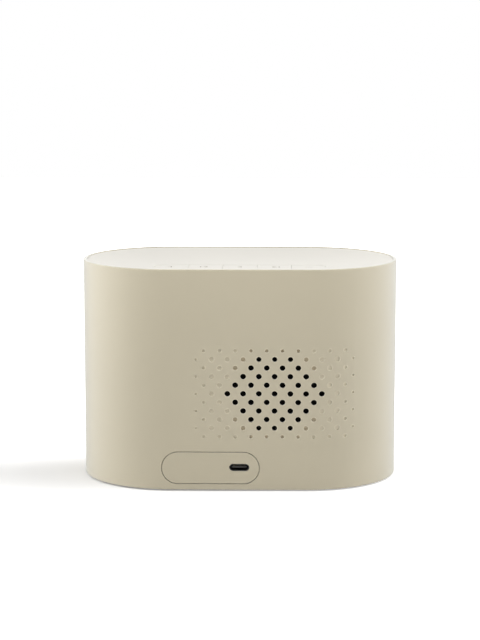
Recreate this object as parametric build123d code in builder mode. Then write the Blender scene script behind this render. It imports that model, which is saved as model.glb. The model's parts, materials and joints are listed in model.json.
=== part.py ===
from build123d import *
import math
import os

# A free-standing bedside white noise sound machine, in millimetres.
# The origin is on the floor at the middle of the base pad. +Z is up, the dial faces -Y,
# and the loudspeaker grille and the USB-C inlet are in the rear wall, at +Y.

os.makedirs("parts", exist_ok=True)

# ---------------------------------------------------------------- driving dimensions

# Body shell
body_width = 145.0
body_depth = 82.5
body_top = 101.0
floor_gap = 0.6
wall = 2.4
edge_round = 0.45
rim_wall = 1.6
cover_seat_drop = 3.5

# Dished top cover
cover_gap = 0.15
cover_drop = 0.3
cover_edge = 3.2
cover_border = 0.9
cover_wall = 2.2
dish_depth = 4.2

# Corner fastening of both covers
boss_lip_gap = 0.2
web_width = 2.0
ear_top = 88.0
ear_height = 4.0
ear_radius = 4.5
cover_boss_radius = 3.2
base_boss_radius = 4.5
shell_boss_radius = 4.0
shell_boss_top = 20.0
boss_web_gap = 0.4

# Base cover and non-slip pad
base_gap = 0.15
base_bottom = 1.0
base_floor = 2.4
base_lip = 3.0
lip_wall = 1.5
base_boss_height = 2.0
base_screw_recess = 1.4
pad_thickness = 1.8
pad_recess = 0.8
pad_gap = 0.2
pad_inset = 4.45

# Screws: thread radius and shank length
m2_radius = 1.0
m25_radius = 1.25
m3_radius = 1.5
base_screw_length = 11.0
cover_screw_length = 9.0
board_screw_length = 5.0
cradle_screw_length = 8.0
key_board_screw_length = 4.5
speaker_screw_length = 4.2
head_ratio = 1.85
head_height_ratio = 1.2
thread_clearance = 0.04
screw_clearance = 0.2
hole_relief = 1.0
short_hole_relief = 0.3
face_gap = 0.05
press_gap = 0.03
overcut = 1.0

# Grille in the rear wall
grille_from_end = 56.2
grille_z = 44.8
grille_wall = 1.2
hole_pitch = 3.53
row_pitch = 3.92
hole_radius = 1.31
third_row_hole_radius = 1.28
fourth_row_hole_radius = 1.16
dimple_radius = 1.05
edge_dimple_radius = 0.75
end_dimple_radius = 0.55
last_row_dimple_radius = 0.8
dimple_depth = 0.42
blind_hole_depth = 0.6
last_row = 5
last_column = 10
open_reach = 6
open_rows = 4

# Connector plate and USB-C inlet
plate_length = 43.8
plate_height = 14.3
plate_from_end = 59.95
plate_z = 10.7
plate_wall = 1.2
plate_seam = 0.35
plate_peg_radius = 1.1
plate_peg_head = 1.7
plate_peg_offsets = (2.0, 16.0)
inlet_inset = 8.9
inlet_length = 9.1
inlet_height = 3.4
receptacle_width = 8.94
receptacle_height = 3.26
receptacle_depth = 7.35
receptacle_sheet = 0.3
receptacle_recess = 0.65
receptacle_gap = 0.3
receptacle_back = 1.2
tongue_recess = 0.7
tongue_round = 0.4
tongue_width = 6.69
tongue_height = 0.7

# Main board on the base cover
board_thickness = 1.6
board_from_sides = 65.0
board_front_gap = 12.85
board_rear_gap = 1.35
board_height = 7.7
board_post_radius = 3.0
board_post_inset = 4.0
board_round = 2.0
chip_height = 1.2
chip_bevel = 0.2
capacitor_radius = 3.15
capacitor_height = 7.7
capacitor_round = 0.4
header_length = 6.5
header_depth = 4.0

# Loudspeaker behind the grille
speaker_frame = 48.0
speaker_corner = 4.0
speaker_screw_spacing = 40.0
speaker_boss_radius = 2.6
seat_inner_radius = 22.6
seat_outer_radius = 25.2
seat_gap = 1.35
hole_overcut = 0.5
gasket_thickness = 1.0
flange_thickness = 1.0
basket_mouth = 20.6
basket_depth = 12.0
basket_foot_radius = 15.6
basket_sheet = 1.2
spider_shelf_depth = 9.6
spider_shelf_radius = 12.6
spider_shelf_width = 2.0
basket_hub_gap = 0.3
window_from_flange = 1.6
window_to_shelf = 1.0
window_width = 15.45
cone_radius = 17.2
cone_front = 0.4
cone_back = 6.5
cone_sheet = 0.45
coil_radius = 7.0
coil_wall = 0.35
coil_depth = 17.0
coil_neck = 0.3
dust_cap_radius = 11.3
dust_cap_rise = 3.2
dust_cap_sheet = 0.3
roll_radius = 1.65
roll_sheet = 0.35
roll_inner_lip = 1.0
roll_outer_lip = 2.2
spider_margin = 0.1
spider_lap = 0.8
spider_wave = 0.6
spider_sheet = 0.35
terminal_length = 9.0
terminal_height = 2.6
terminal_thickness = 1.2
terminal_gap = 0.4
top_plate_radius = 12.5
top_plate_thickness = 3.0
magnet_radius = 16.0
magnet_bore = 8.5
magnet_thickness = 7.0
magnet_bevel = 0.6
yoke_radius = 15.0
yoke_thickness = 3.0
pole_radius = 6.3
pole_recess = 0.4
coil_clearance = 0.5

# Front dial, encoder and night light
dial_z = 52.0
glow_radius = 25.0
glow_gap = 0.2
glow_flange_radius = 27.8
glow_flange_thickness = 1.5
glow_round = 0.3
glow_pocket_radius = 9.9
baffle_inset = 2.0
baffle_front_gap = 0.4
baffle_back_gap = 2.6
dial_boss_offset = 21.9
dial_boss_radius = 3.0
dial_board_size = 56.0
dial_board_round = 6.0
encoder_width = 12.5
encoder_height = 13.2
encoder_depth = 6.5
encoder_round = 0.6
shaft_bevel = 0.4
bushing_radius = 3.5
bushing_length = 6.15
bushing_hole_gap = 0.15
washer_radius = 5.5
washer_thickness = 0.5
nut_across_flats = 10.0
nut_thickness = 2.0
shaft_radius = 3.0
shaft_running_gap = 0.06
shaft_tip = 7.75
shaft_inside = 1.35
shaft_flat = 1.5
shaft_flat_gap = 0.6
plunger_disc = 1.0
plunger_side_gap = 0.1
push_relief = 0.15
dial_radius = 19.5
dial_thickness = 8.0
dial_gap = 1.0
dial_grip_width = 1.5
dial_hub_radius = 7.5
dial_hub_depth = 3.95
dial_dish = 0.7
dial_push = 0.5
dial_bevel = 0.6
pointer_inset = 3.6
pointer_radius = 1.1
pointer_depth = 0.9
grip_bevel = 0.4
grip_back_inset = 0.3
grip_front_inset = 0.7
led_ring_radius = 20.0
led_count = 8
led_width = 1.6
led_length = 3.2
led_height = 0.9

# Key strip in the top cover
strip_length = 80.0
strip_depth = 13.0
strip_gap = 0.2
key_count = 5
key_gap = 0.12
key_proud = 0.1
key_thickness = 3.7
key_flange = 1.0
key_flange_thickness = 1.0
key_flange_inset = 2.0
key_stem_radius = 2.0
key_round = 0.1
mark_size = 3.4
mark_stroke = 0.6
mark_depth = 0.12
mark_bar_share = 0.86

# Key board under the cover
key_board_top = 85.2
key_board_thickness = 1.2
key_board_margin = 9.0
key_board_depth = 30.0
key_board_round = 3.0
switch_size = 6.0
switch_height = 3.5
switch_plunger_radius = 1.65
switch_plunger_height = 1.5
switch_bore_gap = 0.1
switch_bore_depth = 1.575
switch_round = 0.5
plunger_sink = 0.7
key_post_radius = 2.4
key_post_inset = 4.0
key_post_side = 9.0
key_post_middle = 11.0

# Battery and its cradle
cell_radius = 9.2
cell_length = 65.0
cell_gap = 0.15
cell_round = 0.8
cell_stand = 1.0
end_board_radius = 8.0
end_board_thickness = 1.0
cradle_top = 14.5
cradle_plate = 2.0
cradle_margin = 2.8
cradle_post_radius = 3.5
cradle_post_beyond = 5.0
cradle_post_inset = 4.0
saddle_width = 4.0
saddle_x = 27.0
saddle_margin = 1.5
cradle_round = 3.0
end_stop_gap = 1.5
end_stop_height = 5.5
end_stop_thickness = 2.0
strap_x = 18.0
strap_width = 6.0
strap_thickness = 0.8
strap_slot_gap = 0.3
strap_slot_margin = 1.0
strap_under_gap = 0.1

# Wiring
ribbon_width = 6.0
ribbon_thickness = 0.3
ribbon_share = 0.6
lead_radius = 0.6
connector_height = 4.0
ribbon_connector_margin = 3.0
ribbon_connector_depth = 3.0

# ---------------------------------------------------------------- places that follow

outer_radius = body_depth / 2
inner_radius = outer_radius - wall
end_x = (body_width - body_depth) / 2
rear_inner = inner_radius
front_inner = -inner_radius


def wall_y(x, radius):
    """Y at this X, on the rear side, of the plan outline whose round ends have this radius."""
    beyond = max(0.0, abs(x) - end_x)
    return math.sqrt(radius**2 - beyond**2)


cover_seat = body_top - cover_seat_drop
cover_top = body_top - cover_drop
cover_radius = outer_radius - rim_wall - cover_gap
dish_half = cover_radius - cover_border
dish_floor = cover_top - dish_depth
dish_curve = (dish_half**2 + dish_depth**2) / (2 * dish_depth)

base_radius = inner_radius - base_gap
boss_reach = base_radius - lip_wall - shell_boss_radius - boss_lip_gap
corner_offset = boss_reach * math.cos(math.radians(45))
corners = [
    (side * (end_x + corner_offset), face * corner_offset, math.degrees(math.atan2(face, side)))
    for side in (-1, 1)
    for face in (-1, 1)
]
web_length = inner_radius - boss_reach + wall / 4

base_top = base_bottom + base_floor
base_boss_top = base_top + base_boss_height
lip_top = base_top + base_lip
pad_recess_top = base_bottom + pad_recess
base_screw_seat = base_boss_top - base_screw_recess
ear_bottom = ear_top - ear_height

grille_x = -(body_width / 2 - grille_from_end)
plate_x = body_width / 2 - plate_from_end
inlet_x = plate_x - plate_length / 2 + inlet_inset
board_top = board_height + board_thickness
inlet_z = board_top + receptacle_height / 2
inlet_mouth_y = outer_radius - receptacle_recess

board_half = (body_width - board_from_sides) / 2
board_front = front_inner + board_front_gap
board_rear = wall_y(board_half, inner_radius) - board_rear_gap
board_posts = [
    (side * (board_half - board_post_inset), y)
    for side in (-1, 1)
    for y in (board_front + board_post_inset, board_rear - board_post_inset)
]

seat_y = wall_y(abs(grille_x) + speaker_frame / 2, inner_radius) - seat_gap
speaker_front = seat_y - gasket_thickness
basket_back = basket_depth
magnet_front = basket_back + top_plate_thickness
magnet_back = magnet_front + magnet_thickness
speaker_depth = magnet_back + yoke_thickness
speaker_back = speaker_front - speaker_depth
speaker_screw_points = [
    (grille_x + side * speaker_screw_spacing / 2, grille_z + face * speaker_screw_spacing / 2)
    for side in (-1, 1)
    for face in (-1, 1)
]

dial_board_y = front_inner + encoder_depth
dial_board_rear = dial_board_y + board_thickness
dial_boss_points = [
    (side * dial_boss_offset, dial_z + face * dial_boss_offset)
    for side in (-1, 1)
    for face in (-1, 1)
]
washer_front = outer_radius + washer_thickness
dial_back = outer_radius + dial_gap
dial_front = dial_back + dial_thickness

key_top = dish_floor + key_proud
key_bottom = key_top - key_thickness
switch_top = key_board_top + switch_height
plunger_top = switch_top + switch_plunger_height
key_width = (strip_length - 2 * strip_gap - (key_count - 1) * key_gap) / key_count
key_step = key_width + key_gap
key_board_bottom = key_board_top - key_board_thickness
key_board_half = strip_length / 2 + key_board_margin
key_posts = [(side * (key_board_half - key_post_inset), face * key_post_side)
             for side in (-1, 1) for face in (-1, 1)]
key_posts += [(0, face * key_post_middle) for face in (-1, 1)]

battery_y = (dial_board_rear + speaker_back) / 2
cell_z = cradle_top + cell_stand + cell_radius
cradle_half_depth = cell_radius + cradle_margin
cradle_bottom = cradle_top - cradle_plate
cradle_post_x = board_half + cradle_post_beyond
cradle_posts = [
    (side * cradle_post_x, battery_y + face * (cradle_half_depth - cradle_post_inset))
    for side in (-1, 1)
    for face in (-1, 1)
]

connector_top = board_top + connector_height
ribbon_connector_length = ribbon_width + ribbon_connector_margin
speaker_header = (grille_x, battery_y + cradle_half_depth + 14.0)
battery_header = (board_half - 4.0, battery_y + cradle_half_depth + 2.5)
magnet_edge = grille_x + magnet_radius
key_ribbon_x = magnet_edge + ribbon_share * (board_half - magnet_edge)
key_ribbon_y = board_rear - 16.5
key_connector_y = 8.0
dial_ribbon_x = dial_boss_offset - 9.0
dial_connector_z = dial_z - 22.0
dial_connector_height = 4.5
dial_connector_depth = 2.0
edge_connector_y = board_front + 0.5
edge_connector_depth = 4.5
edge_connector_height = 2.0

# ---------------------------------------------------------------- helpers

bottom_up = (Align.CENTER, Align.CENTER, Align.MIN)
top_down = (Align.CENTER, Align.CENTER, Align.MAX)


def at_z(height):
    """A level plane at this height; its axes are X and Y, and it faces up."""
    return Plane.XY.offset(height)


def at_y(y):
    """An upright plane at this Y; its axes are X and Z, and it faces the front."""
    return Plane.XZ.offset(-y)


def at_x(x):
    """An upright plane at this X; its axes are Y and Z, and it faces +X."""
    return Plane.YZ.offset(x)


def stadium(radius, mode=Mode.ADD):
    """The body's plan outline with round ends of this radius."""
    return SlotOverall(2 * (end_x + radius), 2 * radius, mode=mode)


def dish_rise(reach):
    """How far the dish has risen above its floor at this distance from the middle line."""
    return dish_curve - math.sqrt(dish_curve**2 - reach**2)


def cover_middle(x, y):
    """A height inside the top cover's wall, above the point x, y."""
    reach = math.hypot(max(0.0, abs(x) - end_x), y)
    return dish_floor + dish_rise(reach) - cover_wall / 2


def corner_plan(height, post_radius, with_web=False):
    """Plan of the four corner posts, each with a web out to the wall if asked."""
    with BuildSketch(at_z(height)) as plan:
        for corner_x, corner_y, angle in corners:
            with Locations(Location((corner_x, corner_y, 0), (0, 0, angle))):
                Circle(post_radius)
                if with_web:
                    Rectangle(web_length, web_width, align=(Align.MIN, Align.CENTER))
    return plan.sketch


def round_plan(plane, points, radius):
    """Circles of one radius at these points of a plane."""
    with BuildSketch(plane) as plan:
        with Locations(*points):
            Circle(radius)
    return plan.sketch


def axis_plane(x, y, z):
    """A half plane for turned pieces: its first axis runs towards the front, its second up."""
    return Plane(origin=(x, y, z), x_dir=(0, -1, 0), z_dir=(-1, 0, 0))


def turned(plane, points):
    """A closed outline of (distance along the axis, radius) pairs."""
    with BuildSketch(plane) as outline:
        with BuildLine():
            Polyline(*points, close=True)
        make_face()
    return outline.sketch


def pan_screw(radius, length):
    """A pan head screw: the head's underside is at the origin and the shank points down."""
    head_height = radius * head_height_ratio
    with BuildPart() as screw:
        Cylinder(radius * head_ratio, head_height, align=bottom_up)
        fillet(screw.faces().sort_by(Axis.Z)[-1].edges(), head_height * 0.45)
        with BuildSketch(at_z(head_height)):
            Rectangle(radius * 2.0, radius * 0.45)
            Rectangle(radius * 0.45, radius * 2.0)
        extrude(amount=-head_height * 0.6, mode=Mode.SUBTRACT)
        Cylinder(radius, length, align=top_down)
        chamfer(screw.faces().sort_by(Axis.Z)[0].edges(), radius * 0.3)
    return screw.part


def screws_up(points, seat):
    """Places of screws that are driven upwards, with their heads under this height."""
    return [Location((x, y, seat), (180, 0, 0)) for x, y in points]


def screws_down(points, seat):
    """Places of screws that are driven downwards onto this height."""
    return [Location((x, y, seat)) for x, y in points]


def screws_forward(points, y):
    """Places of screws that are driven towards the front, given as X and Z."""
    return [Location((x, y, z), (-90, 0, 0)) for x, z in points]


def screws_rearward(points, y):
    """Places of screws that are driven towards the rear, given as X and Z."""
    return [Location((x, y, z), (90, 0, 0)) for x, z in points]


def bend_radii(name, points):
    """The largest even arcs for a route's corners, printed with the smallest of them."""
    vectors = [Vector(*point) for point in points]
    runs = [after - before for before, after in zip(vectors, vectors[1:])]
    radii = []
    for before, after in zip(runs, runs[1:]):
        half_turn = math.radians(before.get_angle(after) / 2)
        radii.append(0.45 * min(before.length, after.length) / math.tan(half_turn))
    print(name, "bend radii", [round(radius, 1) for radius in radii])
    return radii


def print_fill(name, volume, section, path):
    """Print a cable's volume over its section times its length, which should be 1."""
    length = sum(edge.length for edge in path.edges())
    print(name, "length", round(length, 1), "volume share", round(volume / section / length, 3))


def ribbon(name, x, points):
    """A flat ribbon cable that lies across X and follows these Y, Z points."""
    route = [(x, y, z) for y, z in points]
    with BuildPart() as cable:
        with BuildLine() as path:
            FilletPolyline(*route, radius=bend_radii(name, route))
        with BuildSketch(Plane(origin=path.line @ 0, x_dir=(1, 0, 0), z_dir=path.line % 0)):
            Rectangle(ribbon_width, ribbon_thickness)
        sweep()
    print_fill(name, cable.part.volume, ribbon_width * ribbon_thickness, path)
    return cable.part


def lead(name, points):
    """A round insulated wire along these points."""
    with BuildPart() as wire:
        with BuildLine() as path:
            FilletPolyline(*points, radius=bend_radii(name, points))
        with BuildSketch(Plane(origin=path.line @ 0, z_dir=path.line % 0)):
            Circle(lead_radius)
        sweep()
    print_fill(name, wire.part.volume, math.pi * lead_radius**2, path)
    return wire.part


def write(builder, name):
    """Label a finished piece and write it under its own name."""
    builder.part.label = name
    export_step(builder.part, "parts/" + name + ".step")


# ---------------------------------------------------------------- body shell

def dimple_size(column, row):
    """Mouth radius of the blind dimple at this place of the grille."""
    if abs(column) == last_column:
        return end_dimple_radius
    if abs(column) == last_column - 1:
        return edge_dimple_radius
    if abs(row) == last_row:
        return last_row_dimple_radius
    return dimple_radius


def open_hole_size(row):
    """Radius of the open holes in this row of the grille."""
    if abs(row) == open_rows:
        return fourth_row_hole_radius
    if abs(row) == open_rows - 1:
        return third_row_hole_radius
    return hole_radius


open_holes = []
blind_holes = []
dimples = []
for row in range(-last_row, last_row + 1):
    for column in range(-last_column, last_column + 1):
        place_x = grille_x + column * hole_pitch
        place_z = grille_z + row * row_pitch
        reach = abs(column) + abs(row)
        if (row + column) % 2:
            continue
        if reach <= open_reach and abs(row) <= open_rows:
            open_holes.append((place_x, place_z, open_hole_size(row)))
        elif reach <= open_reach + 2 and abs(row) >= open_rows - 1:
            blind_holes.append((place_x, place_z, dimple_size(column, row)))
        else:
            dimples.append((place_x, place_z, dimple_size(column, row)))
print("open holes", len(open_holes), "blind places", len(blind_holes) + len(dimples))

# Seat ring and screw bosses for the loudspeaker, ending inside the shell's wall
with BuildPart() as speaker_seat:
    with BuildSketch(at_y(seat_y)):
        with Locations((grille_x, grille_z)):
            Circle(seat_outer_radius)
            Circle(seat_inner_radius, mode=Mode.SUBTRACT)
    extrude(amount=seat_y - outer_radius)
    extrude(
        round_plan(at_y(speaker_front), speaker_screw_points, speaker_boss_radius),
        amount=speaker_front - outer_radius,
    )
    with BuildSketch(at_z(0)):
        stadium(outer_radius - wall / 2)
    extrude(amount=body_top, mode=Mode.INTERSECT)

# The wall behind the grille is thinned from the inside, and keeps the shell's own curve
with BuildPart() as grille_pocket:
    extrude(
        round_plan(at_y(seat_y), [(grille_x, grille_z)], seat_inner_radius),
        amount=seat_y - outer_radius,
    )
    with BuildSketch(at_z(0)):
        stadium(outer_radius - grille_wall)
    extrude(amount=body_top, mode=Mode.INTERSECT)

with BuildPart() as body_shell:
    with BuildSketch(at_z(floor_gap)):
        stadium(outer_radius)
    extrude(amount=body_top - floor_gap)
    outer_rims = body_shell.faces().filter_by(Axis.Z).edges()
    fillet(outer_rims, edge_round)
    with BuildSketch(at_z(floor_gap)):
        stadium(inner_radius)
    extrude(amount=cover_seat - floor_gap, mode=Mode.SUBTRACT)
    with BuildSketch(at_z(cover_seat)):
        stadium(outer_radius - rim_wall)
    extrude(amount=cover_seat_drop, mode=Mode.SUBTRACT)
    inner_rim = body_shell.faces().filter_by(Axis.Z).sort_by(Axis.Z)[-1].inner_wires()[0]
    fillet(inner_rim.edges(), edge_round / 2)

    # Ears for the top cover's screws, and bosses for the base cover's screws
    extrude(corner_plan(ear_bottom, ear_radius, with_web=True), amount=ear_height)
    extrude(
        corner_plan(ear_bottom, m25_radius + screw_clearance),
        amount=ear_height,
        mode=Mode.SUBTRACT,
    )
    extrude(corner_plan(base_boss_top, shell_boss_radius), amount=shell_boss_top - base_boss_top)
    extrude(
        corner_plan(lip_top + boss_web_gap, shell_boss_radius, with_web=True),
        amount=shell_boss_top - lip_top - boss_web_gap,
    )
    extrude(
        corner_plan(base_boss_top, m3_radius + thread_clearance),
        amount=base_screw_length,
        mode=Mode.SUBTRACT,
    )

    add(speaker_seat.part)
    add(grille_pocket.part, mode=Mode.SUBTRACT)
    extrude(
        round_plan(at_y(speaker_front), speaker_screw_points, m2_radius + thread_clearance),
        amount=-(speaker_screw_length - flange_thickness + short_hole_relief),
        mode=Mode.SUBTRACT,
    )

    # Round front opening with a flat for the glow disc, and four bosses for the dial board
    extrude(
        round_plan(at_y(-outer_radius), [(0, dial_z)], glow_radius + glow_gap),
        amount=-wall,
        mode=Mode.SUBTRACT,
    )
    extrude(
        round_plan(at_y(dial_board_y), dial_boss_points, dial_boss_radius),
        amount=encoder_depth + wall / 3,
    )
    extrude(
        round_plan(at_y(front_inner), [(0, dial_z)], glow_flange_radius + bushing_hole_gap),
        amount=-glow_flange_thickness * 2,
        mode=Mode.SUBTRACT,
    )
    extrude(
        round_plan(at_y(dial_board_y), dial_boss_points, m25_radius + thread_clearance),
        amount=board_screw_length - board_thickness + hole_relief,
        mode=Mode.SUBTRACT,
    )

    # Grille: open and blind holes cut straight in from the rear, and shallow flat dimples
    # that follow the wall round
    for place_x, place_z, radius in open_holes:
        with BuildSketch(at_y(outer_radius)):
            with Locations((place_x, place_z)):
                Circle(radius)
        inner_y = wall_y(abs(place_x) + radius, inner_radius)
        extrude(amount=outer_radius - inner_y + hole_overcut, mode=Mode.SUBTRACT)
    for place_x, place_z, radius in blind_holes:
        with BuildSketch(at_y(outer_radius)):
            with Locations((place_x, place_z)):
                Circle(radius)
        outer_y = wall_y(place_x, outer_radius)
        extrude(amount=outer_radius - outer_y + blind_hole_depth, mode=Mode.SUBTRACT)
    for place_x, place_z, radius in dimples:
        outer_y = wall_y(place_x, outer_radius)
        beyond = math.copysign(max(0.0, abs(place_x) - end_x), place_x)
        with Locations(Plane((place_x, outer_y, place_z), z_dir=(beyond, outer_y, 0))):
            Cylinder(radius, 2 * dimple_depth, mode=Mode.SUBTRACT)

# The recess for the connector plate keeps the shell's own curve at its floor
with BuildPart() as plate_recess:
    with BuildSketch(at_y(outer_radius + overcut)):
        with Locations((plate_x, plate_z)):
            SlotOverall(plate_length + 2 * plate_seam, plate_height + 2 * plate_seam)
    extrude(amount=wall + 2 * overcut)
    with BuildSketch(at_z(0)):
        stadium(outer_radius + overcut)
        stadium(outer_radius - plate_wall, mode=Mode.SUBTRACT)
    extrude(amount=body_top, mode=Mode.INTERSECT)

peg_points = [(plate_x + offset, plate_z) for offset in plate_peg_offsets]

with BuildPart() as finished_shell:
    add(body_shell.part)
    add(plate_recess.part, mode=Mode.SUBTRACT)
    with BuildSketch(at_y(outer_radius)):
        with Locations((inlet_x, inlet_z)):
            SlotOverall(
                receptacle_width + 2 * receptacle_gap, receptacle_height + 2 * receptacle_gap
            )
    extrude(amount=wall + hole_overcut, mode=Mode.SUBTRACT)
    extrude(
        round_plan(at_y(outer_radius), peg_points, plate_peg_radius + thread_clearance),
        amount=wall,
        mode=Mode.SUBTRACT,
    )
    extrude(
        round_plan(at_y(rear_inner), peg_points, plate_peg_head + screw_clearance),
        amount=wall,
        mode=Mode.SUBTRACT,
    )
write(finished_shell, "body_shell")

# ---------------------------------------------------------------- connector plate

with BuildPart() as io_plate:
    with BuildSketch(at_y(outer_radius + overcut)):
        with Locations((plate_x, plate_z)):
            SlotOverall(plate_length, plate_height)
    extrude(amount=wall + 2 * overcut)
    with BuildSketch(at_z(0)):
        stadium(outer_radius)
        stadium(outer_radius - plate_wall, mode=Mode.SUBTRACT)
    extrude(amount=body_top, mode=Mode.INTERSECT)
    with BuildSketch(at_y(outer_radius + overcut)):
        with Locations((inlet_x, inlet_z)):
            SlotOverall(inlet_length, inlet_height)
    extrude(amount=wall + overcut, mode=Mode.SUBTRACT)
    extrude(round_plan(at_y(outer_radius - plate_wall), peg_points, plate_peg_radius), amount=wall)
    extrude(
        round_plan(at_y(rear_inner), peg_points, plate_peg_head),
        amount=wall - plate_wall,
    )
write(io_plate, "io_plate")

# ---------------------------------------------------------------- top cover

cover_skirt = cover_radius - cover_edge
under_curve = dish_curve + cover_wall
dish_centre_z = dish_floor + dish_curve


def under_height(reach):
    """Height of the cover's underside at this distance from its middle line."""
    return dish_centre_z - math.sqrt(under_curve**2 - reach**2)


def cover_half_section(x):
    """The cover's dished section in the plane at this X, from its middle line to +Y."""
    with BuildSketch(at_x(x)) as section:
        with BuildLine():
            middle = dish_half / 2
            ThreePointArc(
                (0, dish_floor), (middle, dish_floor + dish_rise(middle)), (dish_half, cover_top)
            )
            Polyline(
                (dish_half, cover_top),
                (cover_radius, cover_top),
                (cover_radius, cover_seat),
                (cover_skirt, cover_seat),
                (cover_skirt, under_height(cover_skirt)),
            )
            ThreePointArc(
                (cover_skirt, under_height(cover_skirt)),
                (middle, under_height(middle)),
                (0, under_height(0)),
            )
            Line((0, under_height(0)), (0, dish_floor))
        make_face()
    return section.sketch


with BuildPart() as top_cover:
    extrude(cover_half_section(0), amount=end_x)
    mirror(about=Plane.XZ)
    revolve(cover_half_section(end_x), axis=Axis((end_x, 0, 0), (0, 0, -1)), revolution_arc=180)
    mirror(about=Plane.YZ)

    # Posts down to the shell's ears and to the key board
    for corner_x, corner_y, angle in corners:
        with Locations((corner_x, corner_y, ear_top)):
            Cylinder(cover_boss_radius, cover_middle(corner_x, corner_y) - ear_top, align=bottom_up)
    for post_x, post_y in key_posts:
        with Locations((post_x, post_y, key_board_top)):
            Cylinder(
                key_post_radius, cover_middle(post_x, post_y) - key_board_top, align=bottom_up
            )
    extrude(
        corner_plan(ear_top, m25_radius + thread_clearance),
        amount=cover_screw_length - ear_height + hole_relief,
        mode=Mode.SUBTRACT,
    )
    extrude(
        round_plan(at_z(key_board_top), key_posts, m2_radius + thread_clearance),
        amount=key_board_screw_length - key_board_thickness + hole_relief,
        mode=Mode.SUBTRACT,
    )

    # Opening for the key strip
    with BuildSketch(at_z(cover_seat - dish_depth)):
        SlotOverall(strip_length, strip_depth)
    extrude(amount=dish_depth * 2, mode=Mode.SUBTRACT)
write(top_cover, "top_cover")

with BuildPart() as cover_screws:
    with Locations(*screws_up([(x, y) for x, y, angle in corners], ear_bottom)):
        add(pan_screw(m25_radius, cover_screw_length))
write(cover_screws, "cover_screws")

# ---------------------------------------------------------------- base cover and pad

pad_radius = outer_radius - pad_inset
head_room = m3_radius * head_ratio + screw_clearance

with BuildPart() as base_cover:
    with BuildSketch(at_z(base_bottom)):
        stadium(base_radius)
    extrude(amount=base_floor)
    with BuildSketch(at_z(base_top)):
        stadium(base_radius)
        stadium(base_radius - lip_wall, mode=Mode.SUBTRACT)
    extrude(amount=base_lip)
    with BuildSketch(at_z(base_bottom)):
        stadium(pad_radius + pad_gap)
    extrude(amount=pad_recess, mode=Mode.SUBTRACT)
    extrude(corner_plan(pad_recess_top, base_boss_radius), amount=base_boss_top - pad_recess_top)
    extrude(
        corner_plan(pad_recess_top, head_room),
        amount=base_screw_seat - pad_recess_top,
        mode=Mode.SUBTRACT,
    )
    extrude(
        corner_plan(base_screw_seat, m3_radius + screw_clearance),
        amount=base_boss_top - base_screw_seat,
        mode=Mode.SUBTRACT,
    )

    # Posts for the main board and for the battery cradle
    extrude(
        round_plan(at_z(base_top), board_posts, board_post_radius),
        amount=board_height - base_top,
    )
    extrude(
        round_plan(at_z(board_height), board_posts, m25_radius + thread_clearance),
        amount=-(board_height - base_top - 0.2),
        mode=Mode.SUBTRACT,
    )
    extrude(
        round_plan(at_z(base_top), cradle_posts, cradle_post_radius),
        amount=cradle_bottom - base_top,
    )
    extrude(
        round_plan(at_z(cradle_bottom), cradle_posts, m25_radius + thread_clearance),
        amount=-(cradle_screw_length - cradle_plate + hole_relief),
        mode=Mode.SUBTRACT,
    )
write(base_cover, "base_cover")

with BuildPart() as base_pad:
    with BuildSketch(at_z(0)):
        stadium(pad_radius)
    extrude(amount=pad_thickness)
    chamfer(base_pad.faces().sort_by(Axis.Z)[0].edges(), pad_thickness / 6)
write(base_pad, "base_pad")

with BuildPart() as base_screws:
    with Locations(*screws_up([(x, y) for x, y, angle in corners], base_screw_seat)):
        add(pan_screw(m3_radius, base_screw_length))
write(base_screws, "base_screws")

# ---------------------------------------------------------------- keys


def mark_minus():
    Rectangle(mark_size, mark_stroke)


def mark_plus():
    Rectangle(mark_size, mark_stroke)
    Rectangle(mark_stroke, mark_size)


def mark_play():
    RegularPolygon(mark_size / 2, 3)


def mark_next():
    RegularPolygon(mark_size / 2, 3)
    with Locations((mark_size / 2 + mark_stroke, 0)):
        Rectangle(mark_stroke, mark_size * mark_bar_share)


def mark_previous():
    RegularPolygon(mark_size / 2, 3, rotation=180)
    with Locations((-mark_size / 2 - mark_stroke, 0)):
        Rectangle(mark_stroke, mark_size * mark_bar_share)


key_marks = [
    ("volume_down_key", mark_minus),
    ("previous_key", mark_previous),
    ("play_key", mark_play),
    ("next_key", mark_next),
    ("volume_up_key", mark_plus),
]
key_centres = [(index - (key_count - 1) / 2) * key_step for index in range(key_count)]

for (key_name, draw_mark), key_x in zip(key_marks, key_centres):
    with BuildPart() as key:
        with BuildSketch(at_z(key_bottom)):
            SlotOverall(strip_length - 2 * strip_gap, strip_depth - 2 * strip_gap)
            with Locations((key_x, 0)):
                Rectangle(key_width, strip_depth, mode=Mode.INTERSECT)
        extrude(amount=key_thickness)
        fillet(key.faces().sort_by(Axis.Z)[-1].edges(), key_round)
        with BuildSketch(at_z(key_bottom)):
            with Locations((key_x, 0)):
                Rectangle(key_width - 2 * key_flange_inset, strip_depth + 2 * key_flange)
        extrude(amount=key_flange_thickness)
        with Locations((key_x, 0, key_bottom)):
            Cylinder(key_stem_radius, key_bottom - plunger_top, align=top_down)
        with BuildSketch(at_z(key_top)):
            with Locations((key_x, 0)):
                draw_mark()
        extrude(amount=-mark_depth, mode=Mode.SUBTRACT)
    write(key, key_name)

    with BuildPart() as switch_plunger:
        with Locations((key_x, 0, plunger_top)):
            Cylinder(
                switch_plunger_radius, switch_plunger_height + plunger_sink, align=top_down
            )
    write(switch_plunger, key_name.replace("_key", "_plunger"))

# ---------------------------------------------------------------- key board

with BuildPart() as key_board:
    with BuildSketch(at_z(key_board_bottom)):
        RectangleRounded(2 * key_board_half, key_board_depth, key_board_round)
        with Locations(*key_posts):
            Circle(m2_radius + screw_clearance, mode=Mode.SUBTRACT)
    extrude(amount=key_board_thickness)
write(key_board, "key_board")

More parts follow.
